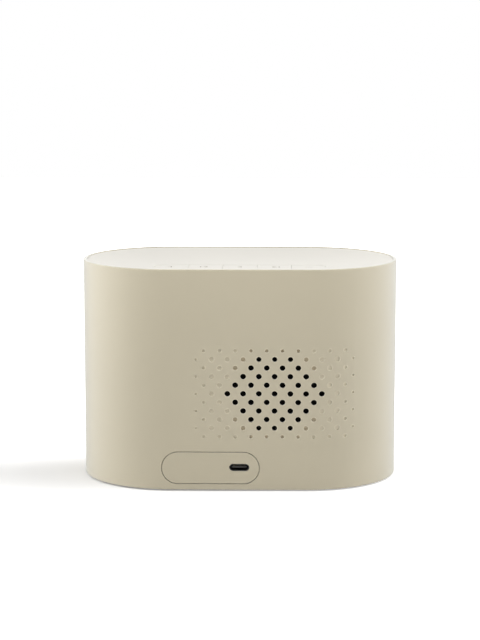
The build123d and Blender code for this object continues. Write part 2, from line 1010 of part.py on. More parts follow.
with BuildPart() as key_switches:
    for key_x in key_centres:
        with Locations((key_x, 0, key_board_top)):
            Box(switch_size, switch_size, switch_height, align=bottom_up)
    fillet(key_switches.edges().filter_by(Axis.Z), switch_round)
    extrude(
        round_plan(
            at_z(switch_top), [(x, 0) for x in key_centres], switch_plunger_radius + switch_bore_gap
        ),
        amount=-switch_bore_depth,
        mode=Mode.SUBTRACT,
    )
write(key_switches, "key_switches")

with BuildPart() as key_board_screws:
    with Locations(*screws_up(key_posts, key_board_bottom)):
        add(pan_screw(m2_radius, key_board_screw_length))
write(key_board_screws, "key_board_screws")

# ---------------------------------------------------------------- front dial

glow_plane = axis_plane(0, 0, dial_z)
dial_axis = Axis((0, 0, dial_z), (0, 1, 0))

with BuildPart() as glow_disc:
    glow_points = [
        (outer_radius, bushing_radius + bushing_hole_gap),
        (outer_radius, glow_radius),
        (inner_radius, glow_radius),
        (inner_radius, glow_flange_radius),
        (inner_radius - glow_flange_thickness, glow_flange_radius),
        (inner_radius - glow_flange_thickness, glow_pocket_radius),
        (inner_radius, glow_pocket_radius),
        (inner_radius, bushing_radius + bushing_hole_gap),
    ]
    revolve(turned(glow_plane, glow_points), axis=dial_axis)
    fillet(glow_disc.faces().sort_by(Axis.Y)[0].outer_wire().edges(), glow_round)
write(glow_disc, "glow_disc")

with BuildPart() as light_baffle:
    baffle_points = [
        (inner_radius - glow_flange_thickness, glow_radius - baffle_inset),
        (inner_radius - glow_flange_thickness, glow_flange_radius - baffle_front_gap),
        (inner_radius - encoder_depth, glow_flange_radius - baffle_back_gap),
        (inner_radius - encoder_depth, glow_radius - baffle_inset),
    ]
    revolve(turned(glow_plane, baffle_points), axis=dial_axis)
write(light_baffle, "light_baffle")

with BuildPart() as dial_board:
    with BuildSketch(at_y(dial_board_rear)):
        with Locations((0, dial_z)):
            RectangleRounded(dial_board_size, dial_board_size, dial_board_round)
        with Locations(*dial_boss_points):
            Circle(m25_radius + screw_clearance, mode=Mode.SUBTRACT)
    extrude(amount=board_thickness)
write(dial_board, "dial_board")

with BuildPart() as dial_board_screws:
    with Locations(*screws_forward(dial_boss_points, dial_board_rear)):
        add(pan_screw(m25_radius, board_screw_length))
write(dial_board_screws, "dial_board_screws")

with BuildPart() as night_light_leds:
    with BuildSketch(at_y(dial_board_y)):
        with Locations((0, dial_z)):
            with PolarLocations(led_ring_radius, led_count, start_angle=180 / led_count):
                Rectangle(led_width, led_length)
    extrude(amount=led_height)
write(night_light_leds, "night_light_leds")

bore_radius = shaft_radius + shaft_running_gap
bushing_front = inner_radius + bushing_length
shaft_front = inner_radius + wall + shaft_tip
shaft_back = inner_radius - shaft_inside
plunger_back = shaft_back - face_gap - plunger_disc

with BuildPart() as encoder_body:
    with BuildSketch(at_y(dial_board_y)):
        with Locations((0, dial_z)):
            RectangleRounded(encoder_width, encoder_height, encoder_round)
    extrude(amount=encoder_depth)
    extrude(round_plan(at_y(front_inner), [(0, dial_z)], bushing_radius), amount=bushing_length)
    chamfer(encoder_body.faces().sort_by(Axis.Y)[0].edges(), shaft_bevel)
    extrude(
        round_plan(at_y(-bushing_front), [(0, dial_z)], bore_radius),
        amount=-(bushing_front - plunger_back + dial_push + push_relief),
        mode=Mode.SUBTRACT,
    )
write(encoder_body, "encoder_body")

with BuildPart() as encoder_washer:
    with BuildSketch(at_y(-outer_radius)):
        with Locations((0, dial_z)):
            Circle(washer_radius)
            Circle(bushing_radius + thread_clearance, mode=Mode.SUBTRACT)
    extrude(amount=washer_thickness)
write(encoder_washer, "encoder_washer")

with BuildPart() as encoder_nut:
    with BuildSketch(at_y(-washer_front)):
        with Locations((0, dial_z)):
            RegularPolygon(nut_across_flats / 2, 6, major_radius=False)
            Circle(bushing_radius + thread_clearance, mode=Mode.SUBTRACT)
    extrude(amount=nut_thickness)
write(encoder_nut, "encoder_nut")

with BuildPart() as encoder_shaft:
    extrude(
        round_plan(at_y(-shaft_back), [(0, dial_z)], shaft_radius),
        amount=shaft_front - shaft_back,
    )
    chamfer(encoder_shaft.faces().sort_by(Axis.Y)[0].edges(), shaft_bevel)
    with BuildSketch(at_y(-shaft_front)):
        with Locations((0, dial_z + shaft_flat)):
            Rectangle(shaft_radius * 2, shaft_radius, align=(Align.CENTER, Align.MIN))
    extrude(amount=-(shaft_front - bushing_front - dial_push - shaft_flat_gap), mode=Mode.SUBTRACT)
write(encoder_shaft, "encoder_shaft")

with BuildPart() as encoder_plunger:
    extrude(
        round_plan(at_y(-plunger_back), [(0, dial_z)], shaft_radius - plunger_side_gap),
        amount=plunger_disc,
    )
write(encoder_plunger, "encoder_plunger")

core_radius = dial_radius - dial_grip_width

with BuildPart() as dial_cap:
    cap_points = [
        (dial_back, dial_hub_radius),
        (dial_back, core_radius),
        (dial_front - dial_bevel, core_radius),
        (dial_front, core_radius - dial_bevel),
        (dial_front - dial_dish, 0),
        (shaft_front + face_gap, 0),
        (shaft_front + face_gap, shaft_radius + press_gap),
        (dial_back + dial_hub_depth, shaft_radius + press_gap),
        (dial_back + dial_hub_depth, dial_hub_radius),
    ]
    revolve(turned(glow_plane, cap_points), axis=dial_axis)
    with BuildSketch(at_y(-dial_front - overcut)):
        with Locations((0, dial_z + core_radius - pointer_inset)):
            Circle(pointer_radius)
    extrude(amount=-overcut - pointer_depth, mode=Mode.SUBTRACT)
write(dial_cap, "dial_cap")

with BuildPart() as dial_grip:
    grip_back = dial_back + grip_back_inset
    grip_front = dial_front - grip_front_inset
    grip_points = [
        (grip_back, core_radius + press_gap),
        (grip_back, dial_radius - grip_bevel),
        (grip_back + grip_bevel, dial_radius),
        (grip_front - grip_bevel, dial_radius),
        (grip_front, dial_radius - grip_bevel),
        (grip_front, core_radius + press_gap),
    ]
    revolve(turned(glow_plane, grip_points), axis=dial_axis)
write(dial_grip, "dial_grip")

# ---------------------------------------------------------------- main board

with BuildPart() as main_board:
    with BuildSketch(at_z(board_height)):
        with Locations((0, (board_front + board_rear) / 2)):
            RectangleRounded(2 * board_half, board_rear - board_front, board_round)
        with Locations(*board_posts):
            Circle(m25_radius + screw_clearance, mode=Mode.SUBTRACT)
    extrude(amount=board_thickness)
write(main_board, "main_board")

with BuildPart() as main_board_screws:
    with Locations(*screws_down(board_posts, board_top)):
        add(pan_screw(m25_radius, board_screw_length))
write(main_board_screws, "main_board_screws")

with BuildPart() as usb_c_shell:
    with BuildSketch(at_y(inlet_mouth_y)):
        with Locations((inlet_x, inlet_z)):
            SlotOverall(receptacle_width, receptacle_height)
            SlotOverall(
                receptacle_width - 2 * receptacle_sheet,
                receptacle_height - 2 * receptacle_sheet,
                mode=Mode.SUBTRACT,
            )
    extrude(amount=receptacle_depth)
    with BuildSketch(at_y(inlet_mouth_y - receptacle_depth + receptacle_back)):
        with Locations((inlet_x, inlet_z)):
            SlotOverall(receptacle_width, receptacle_height)
    extrude(amount=receptacle_back)
write(usb_c_shell, "usb_c_shell")

with BuildPart() as usb_c_tongue:
    with BuildSketch(at_y(inlet_mouth_y - tongue_recess)):
        with Locations((inlet_x, inlet_z)):
            Rectangle(tongue_width, tongue_height)
    extrude(amount=receptacle_depth - tongue_recess - receptacle_back)
    fillet(usb_c_tongue.faces().sort_by(Axis.Y)[-1].edges().filter_by(Axis.Z), tongue_round)
write(usb_c_tongue, "usb_c_tongue")

chip_places = [
    (-10.0, battery_y + 3.0, 8.0, 8.0),
    (8.0, battery_y - 4.0, 5.0, 6.0),
    (-24.0, battery_y - 2.0, 4.0, 5.0),
    (6.0, board_rear - 13.0, 5.0, 4.0),
]

with BuildPart() as board_chips:
    for chip_x, chip_y, chip_width, chip_depth in chip_places:
        with Locations((chip_x, chip_y, board_top)):
            Box(chip_width, chip_depth, chip_height, align=bottom_up)
    chamfer(board_chips.faces().filter_by(Axis.Z).group_by(Axis.Z)[-1].edges(), chip_bevel)
write(board_chips, "board_chips")

capacitor_x = -(board_half - 7.0)
capacitor_points = [
    (capacitor_x, battery_header[1] + 8.0),
    (capacitor_x + 9.0, battery_header[1] + 4.5),
]

with BuildPart() as board_capacitors:
    for capacitor_place in capacitor_points:
        with Locations((*capacitor_place, board_top)):
            Cylinder(capacitor_radius, capacitor_height, align=bottom_up)
    capacitor_tops = board_capacitors.faces().filter_by(Axis.Z).group_by(Axis.Z)[-1]
    fillet(capacitor_tops.edges(), capacitor_round)
write(board_capacitors, "board_capacitors")

with BuildPart() as board_connectors:
    for header in (speaker_header, battery_header):
        with Locations((*header, board_top)):
            Box(header_length, header_depth, connector_height, align=bottom_up)
    with Locations((key_ribbon_x, key_ribbon_y, board_top)):
        Box(ribbon_connector_length, ribbon_connector_depth, connector_height, align=bottom_up)
    with Locations((key_ribbon_x, key_connector_y, key_board_bottom)):
        Box(ribbon_connector_length, ribbon_connector_depth, connector_height, align=top_down)
    with Locations((dial_ribbon_x, edge_connector_y, board_top)):
        Box(
            ribbon_connector_length,
            edge_connector_depth,
            edge_connector_height,
            align=(Align.CENTER, Align.MIN, Align.MIN),
        )
    with Locations((dial_ribbon_x, dial_board_rear, dial_connector_z)):
        Box(
            ribbon_connector_length,
            dial_connector_depth,
            dial_connector_height,
            align=(Align.CENTER, Align.MIN, Align.CENTER),
        )
write(board_connectors, "board_connectors")

# ---------------------------------------------------------------- battery

with BuildPart() as battery_cell:
    with BuildSketch(at_x(-cell_length / 2)):
        with Locations((battery_y, cell_z)):
            Circle(cell_radius)
    extrude(amount=cell_length)
    fillet(battery_cell.faces().filter_by(Axis.X).edges(), cell_round)
write(battery_cell, "battery_cell")

with BuildPart() as battery_protection_board:
    with BuildSketch(at_x(cell_length / 2)):
        with Locations((battery_y, cell_z)):
            Circle(end_board_radius)
    extrude(amount=end_board_thickness)
write(battery_protection_board, "battery_protection_board")

strap_inner = cell_radius + cell_gap
strap_outer = strap_inner + strap_thickness
slot_width = strap_thickness + 2 * strap_slot_gap
slot_y = (strap_inner + strap_outer) / 2
stop_x = cell_length / 2 + end_stop_gap
cradle_half = cradle_post_x + cradle_post_radius

with BuildPart() as battery_cradle:
    with BuildSketch(at_z(cradle_bottom)):
        with Locations((0, battery_y)):
            RectangleRounded(2 * cradle_half, 2 * cradle_half_depth, cradle_round)
        with Locations(*cradle_posts):
            Circle(m25_radius + screw_clearance, mode=Mode.SUBTRACT)
        for side in (-1, 1):
            with Locations(
                (side * strap_x, battery_y - slot_y), (side * strap_x, battery_y + slot_y)
            ):
                Rectangle(strap_width + strap_slot_margin, slot_width, mode=Mode.SUBTRACT)
    extrude(amount=cradle_plate)
    for side in (-1, 1):
        with Locations((side * saddle_x, battery_y, cradle_top)):
            Box(saddle_width, 2 * (cell_radius + saddle_margin), cell_radius, align=bottom_up)
        with Locations((side * (stop_x + end_stop_thickness / 2), battery_y, cradle_top)):
            Box(end_stop_thickness, cell_radius, end_stop_height, align=bottom_up)
    with BuildSketch(at_x(-cell_length / 2)):
        with Locations((battery_y, cell_z)):
            Circle(cell_radius + cell_gap)
    extrude(amount=cell_length, mode=Mode.SUBTRACT)
write(battery_cradle, "battery_cradle")

with BuildPart() as cradle_screws:
    with Locations(*screws_down(cradle_posts, cradle_top)):
        add(pan_screw(m25_radius, cradle_screw_length))
write(cradle_screws, "cradle_screws")

with BuildPart() as battery_straps:
    for side in (-1, 1):
        with BuildSketch(at_x(side * strap_x)):
            with Locations((battery_y, cell_z)):
                Circle(strap_outer)
                Rectangle(
                    2 * strap_outer,
                    cell_z - cradle_bottom + strap_under_gap + strap_thickness,
                    align=(Align.CENTER, Align.MAX),
                )
                Circle(strap_inner, mode=Mode.SUBTRACT)
                Rectangle(
                    2 * strap_inner,
                    cell_z - cradle_bottom + strap_under_gap,
                    align=(Align.CENTER, Align.MAX),
                    mode=Mode.SUBTRACT,
                )
        extrude(amount=strap_width / 2, both=True)
write(battery_straps, "battery_straps")

# ---------------------------------------------------------------- loudspeaker

speaker_plane = axis_plane(grille_x, speaker_front, grille_z)
speaker_axis = Axis((grille_x, speaker_front, grille_z), (0, 1, 0))
cone_slope = (cone_back - cone_front) / (cone_radius - coil_radius)


def cone_depth(radius):
    """Depth of the cone's front surface behind the flange at this radius."""
    return cone_front + (cone_radius - radius) * cone_slope


with BuildPart() as speaker_gasket:
    with BuildSketch(at_y(seat_y)):
        with Locations((grille_x, grille_z)):
            Circle(seat_outer_radius - 0.2)
            Circle(seat_inner_radius + 0.2, mode=Mode.SUBTRACT)
    extrude(amount=gasket_thickness)
write(speaker_gasket, "speaker_gasket")

hub_radius = coil_radius + coil_clearance + basket_hub_gap
window_front = speaker_front - flange_thickness - window_from_flange

with BuildPart() as speaker_basket:
    with BuildSketch(at_y(speaker_front)):
        with Locations((grille_x, grille_z)):
            RectangleRounded(speaker_frame, speaker_frame, speaker_corner)
            Circle(basket_mouth, mode=Mode.SUBTRACT)
        with Locations(*speaker_screw_points):
            Circle(m2_radius + screw_clearance, mode=Mode.SUBTRACT)
    extrude(amount=flange_thickness)
    basket_points = [
        (flange_thickness, basket_mouth),
        (flange_thickness, basket_mouth + basket_sheet),
        (basket_depth - basket_sheet, basket_foot_radius),
        (basket_depth, basket_foot_radius),
        (basket_depth, hub_radius),
        (basket_depth - basket_sheet, hub_radius),
        (basket_depth - basket_sheet, spider_shelf_radius),
        (spider_shelf_depth, spider_shelf_radius),
        (spider_shelf_depth, spider_shelf_radius + spider_shelf_width),
    ]
    revolve(turned(speaker_plane, basket_points), axis=speaker_axis)
    with BuildSketch(at_y(window_front)):
        with Locations((grille_x, grille_z)):
            with PolarLocations(basket_mouth - 1.0, 4, start_angle=45):
                Rectangle(window_width, window_width)
    extrude(
        amount=spider_shelf_depth - flange_thickness - window_from_flange - window_to_shelf,
        mode=Mode.SUBTRACT,
    )
write(speaker_basket, "speaker_basket")

with BuildPart() as speaker_top_plate:
    plate_points = [
        (basket_back, coil_radius + coil_clearance),
        (basket_back, top_plate_radius),
        (magnet_front, top_plate_radius),
        (magnet_front, coil_radius + coil_clearance),
    ]
    revolve(turned(speaker_plane, plate_points), axis=speaker_axis)
write(speaker_top_plate, "speaker_top_plate")

with BuildPart() as speaker_magnet:
    magnet_points = [
        (magnet_front, magnet_bore),
        (magnet_front, magnet_radius - magnet_bevel),
        (magnet_front + magnet_bevel, magnet_radius),
        (magnet_back - magnet_bevel, magnet_radius),
        (magnet_back, magnet_radius - magnet_bevel),
        (magnet_back, magnet_bore),
    ]
    revolve(turned(speaker_plane, magnet_points), axis=speaker_axis)
write(speaker_magnet, "speaker_magnet")

with BuildPart() as speaker_yoke:
    yoke_points = [
        (basket_back + pole_recess, 0),
        (basket_back + pole_recess, pole_radius),
        (magnet_back, pole_radius),
        (magnet_back, yoke_radius),
        (speaker_depth, yoke_radius),
        (speaker_depth, 0),
    ]
    revolve(turned(speaker_plane, yoke_points), axis=speaker_axis)
write(speaker_yoke, "speaker_yoke")

with BuildPart() as voice_coil:
    coil_points = [
        (cone_back - coil_neck, coil_radius - coil_wall),
        (cone_back - coil_neck, coil_radius),
        (coil_depth, coil_radius),
        (coil_depth, coil_radius - coil_wall),
    ]
    revolve(turned(speaker_plane, coil_points), axis=speaker_axis)
write(voice_coil, "voice_coil")

with BuildPart() as speaker_cone:
    cone_inner = coil_radius + face_gap
    cone_points = [
        (cone_front, cone_radius),
        (cone_depth(cone_inner), cone_inner),
        (cone_depth(cone_inner) + cone_sheet, cone_inner),
        (cone_front + cone_sheet, cone_radius),
    ]
    revolve(turned(speaker_plane, cone_points), axis=speaker_axis)
write(speaker_cone, "speaker_cone")

dome_curve = (dust_cap_radius**2 + dust_cap_rise**2) / (2 * dust_cap_rise)
dome_back = cone_depth(dust_cap_radius) - face_gap
dome_half_fall = dome_curve - math.sqrt(dome_curve**2 - (dust_cap_radius / 2) ** 2)

with BuildPart() as dust_cap:
    with BuildSketch(speaker_plane) as dome_outline:
        with BuildLine():
            for sheet in (0, dust_cap_sheet):
                apex = dome_back - dust_cap_rise - sheet
                ThreePointArc(
                    (apex, 0),
                    (apex + dome_half_fall, dust_cap_radius / 2),
                    (apex + dust_cap_rise, dust_cap_radius),
                )
            Line((dome_back - dust_cap_rise, 0), (dome_back - dust_cap_rise - dust_cap_sheet, 0))
            Line((dome_back, dust_cap_radius), (dome_back - dust_cap_sheet, dust_cap_radius))
        make_face()
    revolve(axis=speaker_axis)
write(dust_cap, "dust_cap")

roll_middle = (cone_radius + basket_mouth) / 2

with BuildPart() as speaker_surround:
    with BuildSketch(speaker_plane) as roll_outline:
        with Locations((0, roll_middle)):
            Circle(roll_radius)
            Circle(roll_radius - roll_sheet, mode=Mode.SUBTRACT)
            Rectangle(
                roll_radius * 2,
                roll_radius * 3,
                align=(Align.MIN, Align.CENTER),
                mode=Mode.SUBTRACT,
            )
        with Locations((0, roll_middle - roll_radius + roll_sheet)):
            Rectangle(roll_sheet, roll_inner_lip, align=(Align.MIN, Align.MAX))
        with Locations((0, roll_middle + roll_radius - roll_sheet)):
            Rectangle(roll_sheet, roll_outer_lip, align=(Align.MAX, Align.MIN))
    revolve(axis=speaker_axis)
write(speaker_surround, "speaker_surround")

spider_inner = coil_radius + spider_margin
spider_outer = spider_shelf_radius + spider_lap
spider_back = spider_shelf_depth
wave_step = (spider_shelf_radius - spider_inner) / 5
spider_front_points = [
    (spider_back - spider_sheet - (spider_wave if index % 2 else 0), spider_inner + index * wave_step)
    for index in range(5)
]
spider_front_points += [
    (spider_back - spider_sheet, spider_shelf_radius),
    (spider_back - spider_sheet, spider_outer),
]
spider_back_points = [(depth + spider_sheet, radius) for depth, radius in spider_front_points]

with BuildPart() as speaker_spider:
    spider_points = spider_front_points + spider_back_points[::-1]
    revolve(turned(speaker_plane, spider_points), axis=speaker_axis)
write(speaker_spider, "speaker_spider")

terminal_y = speaker_front - basket_back
terminal_top = grille_z - top_plate_radius - terminal_gap
terminal_bottom = terminal_top - terminal_height

with BuildPart() as speaker_terminals:
    with BuildSketch(at_y(terminal_y)):
        with Locations((grille_x, terminal_top)):
            Rectangle(terminal_length, terminal_height, align=(Align.CENTER, Align.MAX))
    extrude(amount=terminal_thickness)
write(speaker_terminals, "speaker_terminals")

with BuildPart() as speaker_screws:
    with Locations(*screws_rearward(speaker_screw_points, speaker_front - flange_thickness)):
        add(pan_screw(m2_radius, speaker_screw_length))
write(speaker_screws, "speaker_screws")

# ---------------------------------------------------------------- wiring

speaker_lead_parts = []
battery_lead_parts = []
end_board_face = cell_length / 2 + end_board_thickness

# Where the battery header lies inside the cell's end, its leads go back past the cell first:
# the outer one farther, and the lead of the farther pin comes in above the other
lead_return = max(0.0, end_board_face + 2.5 - battery_header[0]) / 2

for side in (-1, 1):
    terminal_x = grille_x + side * 2.5
    pin_x = speaker_header[0] + side * 1.25
    speaker_lead_parts.append(
        lead(
            "speaker lead",
            [
                (terminal_x, terminal_y - 0.6, terminal_bottom),
                (terminal_x, terminal_y - 0.6, terminal_bottom - 6.0),
                (pin_x, speaker_header[1], connector_top + 6.0),
                (pin_x, speaker_header[1], connector_top),
            ],
        )
    )
    start_y = battery_y + side * 1.25
    pin_x = battery_header[0] - side * 1.25
    farther_back = lead_return * (1.4 - side * 0.4)
    battery_lead_parts.append(
        lead(
            "battery lead",
            [
                (end_board_face, start_y, cell_z + 2.5),
                (end_board_face + 3.5 - side * 0.9, start_y, cell_z + 2.5),
                (end_board_face + 5.1 - side * 0.9, start_y + 4.5 + farther_back, cell_z + 1.5),
                (pin_x, battery_header[1], cell_z - 4.2 + max(0, side) * lead_return / 2),
                (pin_x, battery_header[1], connector_top),
            ],
        )
    )

with BuildPart() as speaker_leads:
    for wire_part in speaker_lead_parts:
        add(wire_part)
write(speaker_leads, "speaker_leads")

with BuildPart() as battery_leads:
    for wire_part in battery_lead_parts:
        add(wire_part)
write(battery_leads, "battery_leads")

key_ribbon_part = ribbon(
    "key ribbon",
    key_ribbon_x,
    [
        (key_connector_y, key_board_bottom - connector_height),
        (key_connector_y, key_board_bottom - connector_height - 14.0),
        (key_ribbon_y, key_board_bottom - connector_height - 30.0),
        (key_ribbon_y, connector_top),
    ],
)
with BuildPart() as key_ribbon:
    add(key_ribbon_part)
write(key_ribbon, "key_ribbon")

dial_ribbon_y = dial_board_rear + dial_connector_depth / 2
edge_ribbon_z = board_top + edge_connector_height / 2
dial_ribbon_part = ribbon(
    "dial ribbon",
    dial_ribbon_x,
    [
        (dial_ribbon_y, dial_connector_z - dial_connector_height / 2),
        (dial_ribbon_y, edge_ribbon_z + 4.0),
        (edge_connector_y - 2.8, edge_ribbon_z),
        (edge_connector_y, edge_ribbon_z),
    ],
)
with BuildPart() as dial_ribbon:
    add(dial_ribbon_part)
write(dial_ribbon, "dial_ribbon")
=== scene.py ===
# %% [markdown]
# # A bedside white noise sound machine
# The shells, keys, dial, boards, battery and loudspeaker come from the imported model, at their
# real size. They are the fixed frame that every finish and every added piece here is built on.
# All lengths are in metres, +Z is up, the dial is on the -Y side and the grille on the +Y side.

# %% Load the frame
import json
import math
import bmesh
import bpy
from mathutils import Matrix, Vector


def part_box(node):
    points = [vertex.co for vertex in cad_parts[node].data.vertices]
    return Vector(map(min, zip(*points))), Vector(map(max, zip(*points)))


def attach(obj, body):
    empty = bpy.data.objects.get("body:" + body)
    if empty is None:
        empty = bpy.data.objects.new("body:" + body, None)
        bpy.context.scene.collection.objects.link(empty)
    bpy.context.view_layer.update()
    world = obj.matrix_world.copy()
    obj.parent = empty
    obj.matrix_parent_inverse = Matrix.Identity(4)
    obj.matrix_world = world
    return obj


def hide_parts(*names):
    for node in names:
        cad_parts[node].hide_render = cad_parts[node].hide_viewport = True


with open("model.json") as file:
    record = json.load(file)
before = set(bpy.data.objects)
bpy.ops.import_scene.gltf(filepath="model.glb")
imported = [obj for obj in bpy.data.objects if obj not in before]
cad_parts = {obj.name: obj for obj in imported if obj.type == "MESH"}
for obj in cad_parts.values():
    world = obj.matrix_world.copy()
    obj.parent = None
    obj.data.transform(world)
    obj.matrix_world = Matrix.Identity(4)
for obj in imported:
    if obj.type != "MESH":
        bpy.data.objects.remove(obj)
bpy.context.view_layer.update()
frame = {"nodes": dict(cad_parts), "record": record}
nodes = frame["nodes"]

# %% [markdown]
# ## The camera
# A product picture of a small thing is taken from about a metre away with a long lens, so that
# the box keeps its upright sides. The camera stands behind the machine, a little above its top,
# and looks slightly down, so that the dished top shows as a narrow band.

# %% Camera
MM = 0.001
CAMERA_PLACE = Vector((-17.3, 919.3, 221.9)) * MM
CAMERA_PITCH = math.radians(9.283)
CAMERA_TURN = math.radians(181.076)
IMAGE_HEIGHT = 640
FOCAL_LENGTH_IN_PIXELS = 1998
SENSOR_SIDE = 36.0

camera_data = bpy.data.cameras.new("camera")
camera_data.sensor_width = SENSOR_SIDE
camera_data.lens = SENSOR_SIDE * FOCAL_LENGTH_IN_PIXELS / IMAGE_HEIGHT
camera = bpy.data.objects.new("camera", camera_data)
camera.location = CAMERA_PLACE
camera.rotation_euler = (math.pi / 2 - CAMERA_PITCH, 0, CAMERA_TURN)
bpy.context.scene.collection.objects.link(camera)
bpy.context.scene.camera = camera
print("lens", round(camera_data.lens, 1), "mm")

# %% [markdown]
# ## Formulas made of nodes
# Materials and Geometry Nodes are both trees of nodes, and a Math node does only one sum. Wired
# one by one, they hide the formula. A `Value` wraps one output instead, and arithmetic on it adds
# the Math nodes, so a formula in a shader reads like a formula in Python.

# %% Values
class Value:
    """One output in a node tree; arithmetic on it adds Math nodes."""

    def __init__(self, tree, socket):
        self.tree = tree
        self.socket = socket

    def math(self, operation, *values):
        return self.tree.add("ShaderNodeMath", {"operation": operation}, dict(enumerate(values)))

    def __add__(self, other):
        return self.math("ADD", self, other)

    def __radd__(self, other):
        return self.math("ADD", other, self)

    def __sub__(self, other):
        return self.math("SUBTRACT", self, other)

    def __rsub__(self, other):
        return self.math("SUBTRACT", other, self)

    def __mul__(self, other):
        return self.math("MULTIPLY", self, other)

    def __rmul__(self, other):
        return self.math("MULTIPLY", other, self)

    def __truediv__(self, other):
        return self.math("DIVIDE", self, other)

    def __rtruediv__(self, other):
        return self.math("DIVIDE", other, self)

    def __pow__(self, other):
        return self.math("POWER", self, other)

    def __abs__(self):
        return self.math("ABSOLUTE", self)

    def above(self, limit):
        return self.math("GREATER_THAN", self, limit)

    def below(self, limit):
        return self.math("LESS_THAN", self, limit)

    def remainder(self, step):
        return self.math("FLOORED_MODULO", self, step)

    def at_least(self, other):
        return self.math("MAXIMUM", self, other)

    def nearest_whole(self):
        return self.math("ROUND", self)

    def rounded_up(self):
        return self.math("CEIL", self)

    def sine(self):
        return self.math("SINE", self)

    def cosine(self):
        return self.math("COSINE", self)


# %% [markdown]
# ## Trees of nodes
# One method adds any node. Its settings are set first, because some of them change the sockets,
# and then its sockets get values or links.

# %% Trees
class Tree:
    """A node tree that grows one node at a time."""

    def __init__(self, tree):
        self.tree = tree

    def add(self, kind, settings=None, sockets=None, output=0):
        """Adds a node of this kind and returns one of its outputs, if it has any."""
        node = self.tree.nodes.new(kind)
        for name, value in (settings or {}).items():
            setattr(node, name, value)
        for name, value in (sockets or {}).items():
            if isinstance(value, Value):
                self.tree.links.new(value.socket, node.inputs[name])
            else:
                node.inputs[name].default_value = value
        return Value(self, node.outputs[output]) if len(node.outputs) else None

    def split(self, vector, name):
        """The X, Y or Z part of a vector."""
        return self.add("ShaderNodeSeparateXYZ", sockets={0: vector}, output=name)

    def join(self, x, y, z):
        """A vector from its three parts."""
        return self.add("ShaderNodeCombineXYZ", sockets={0: x, 1: y, 2: z})

    def step(self, value, low, high):
        """0 below low, 1 above high, and smooth between them."""
        sockets = {"Value": value, "From Min": low, "From Max": high}
        return self.add("ShaderNodeMapRange", {"interpolation_type": "SMOOTHSTEP"}, sockets)


# %% [markdown]
# ## Finishes
# A finish is a material that reads Object coordinates, which are the model's own frame here, so
# that a grain has its real size on every piece. Its bumps have real depths too: a few thousandths
# of a millimetre for a mould's grain, and under a tenth for woven tape. Colour, roughness, metal
# and bump vary; the rest is set once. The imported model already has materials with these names,
# and Blender numbers a second one, so each finish is kept under its own plain name.

# %% Finish
finishes = {}


class Finish(Tree):
    """A material made of nodes, with the patterns that the machine's finishes share."""

    def __init__(self, name):
        self.name = name
        self.material = bpy.data.materials.new(name)
        self.material.use_nodes = True
        super().__init__(self.material.node_tree)
        self.tree.nodes.clear()
        self.place = self.add("ShaderNodeTexCoord", output="Object")

    def axis(self, name):
        """The X, Y or Z coordinate, in metres."""
        return self.split(self.place, name)

    def stretched(self, stretch):
        """The coordinates, scaled by a factor along each axis."""
        if stretch == (1, 1, 1):
            return self.place
        return self.add("ShaderNodeMapping", sockets={"Vector": self.place, "Scale": stretch})

    def noise(self, size, detail=2.0, stretch=(1, 1, 1)):
        """Soft noise from 0 to 1, whose patches are about this size."""
        sockets = {"Vector": self.stretched(stretch), "Scale": 1 / size, "Detail": detail}
        return self.add("ShaderNodeTexNoise", sockets=sockets)

    def cells(self, size, feature="F1"):
        """Distance to the nearest of scattered points or cell walls, about this far apart."""
        sockets = {"Vector": self.place, "Scale": 1 / size}
        return self.add("ShaderNodeTexVoronoi", {"feature": feature}, sockets, output="Distance")

    def distance_from(self, centre, flatten):
        """Distance from a point, or from an axis through it where a part of flatten is 0."""
        kind = "ShaderNodeVectorMath"
        offset = self.add(kind, {"operation": "SUBTRACT"}, {0: self.place, 1: centre})
        offset = self.add(kind, {"operation": "MULTIPLY"}, {0: offset, 1: flatten})
        return self.add(kind, {"operation": "LENGTH"}, {0: offset}, output="Value")

    def ripple(self, value, pitch):
        """A wave from 0 to 1 that repeats at this pitch."""
        return (value * (2 * math.pi / pitch)).sine() * 0.5 + 0.5

    def mix(self, share, first, second):
        """From the first colour at 0 to the second at 1."""
        colours = {
            number: colour if isinstance(colour, Value) else (*colour, 1)
            for number, colour in ((6, first), (7, second))
        }
        return self.add("ShaderNodeMix", {"data_type": "RGBA"}, {0: share, **colours}, output=2)

    def shades(self, share, colour, spread):
        """The colour, a little darker at 0 and a little lighter at 1."""
        darker = tuple(part * (1 - spread) for part in colour)
        lighter = tuple(min(1.0, part * (1 + spread)) for part in colour)
        return self.mix(share, darker, lighter)

    def bump(self, height, depth, under=None):
        """A normal from a height of 0 to 1 that stands for this depth, in metres."""
        sockets = {"Height": height, "Distance": depth}
        if under:
            sockets["Normal"] = under
        return self.add("ShaderNodeBump", sockets=sockets)

    def surface(self, **sockets):
        """Ends the tree with a Principled surface, and keeps the material with the finishes."""
        named = {}
        for name, value in sockets.items():
            is_colour = isinstance(value, tuple) and "Radius" not in name
            named[name.replace("_", " ")] = (*value, 1) if is_colour else value
        shader = self.add("ShaderNodeBsdfPrincipled", sockets=named)
        self.add("ShaderNodeOutputMaterial", sockets={"Surface": shader})
        finishes[self.name] = self.material
        print("finish", self.name, "nodes", len(self.tree.nodes))
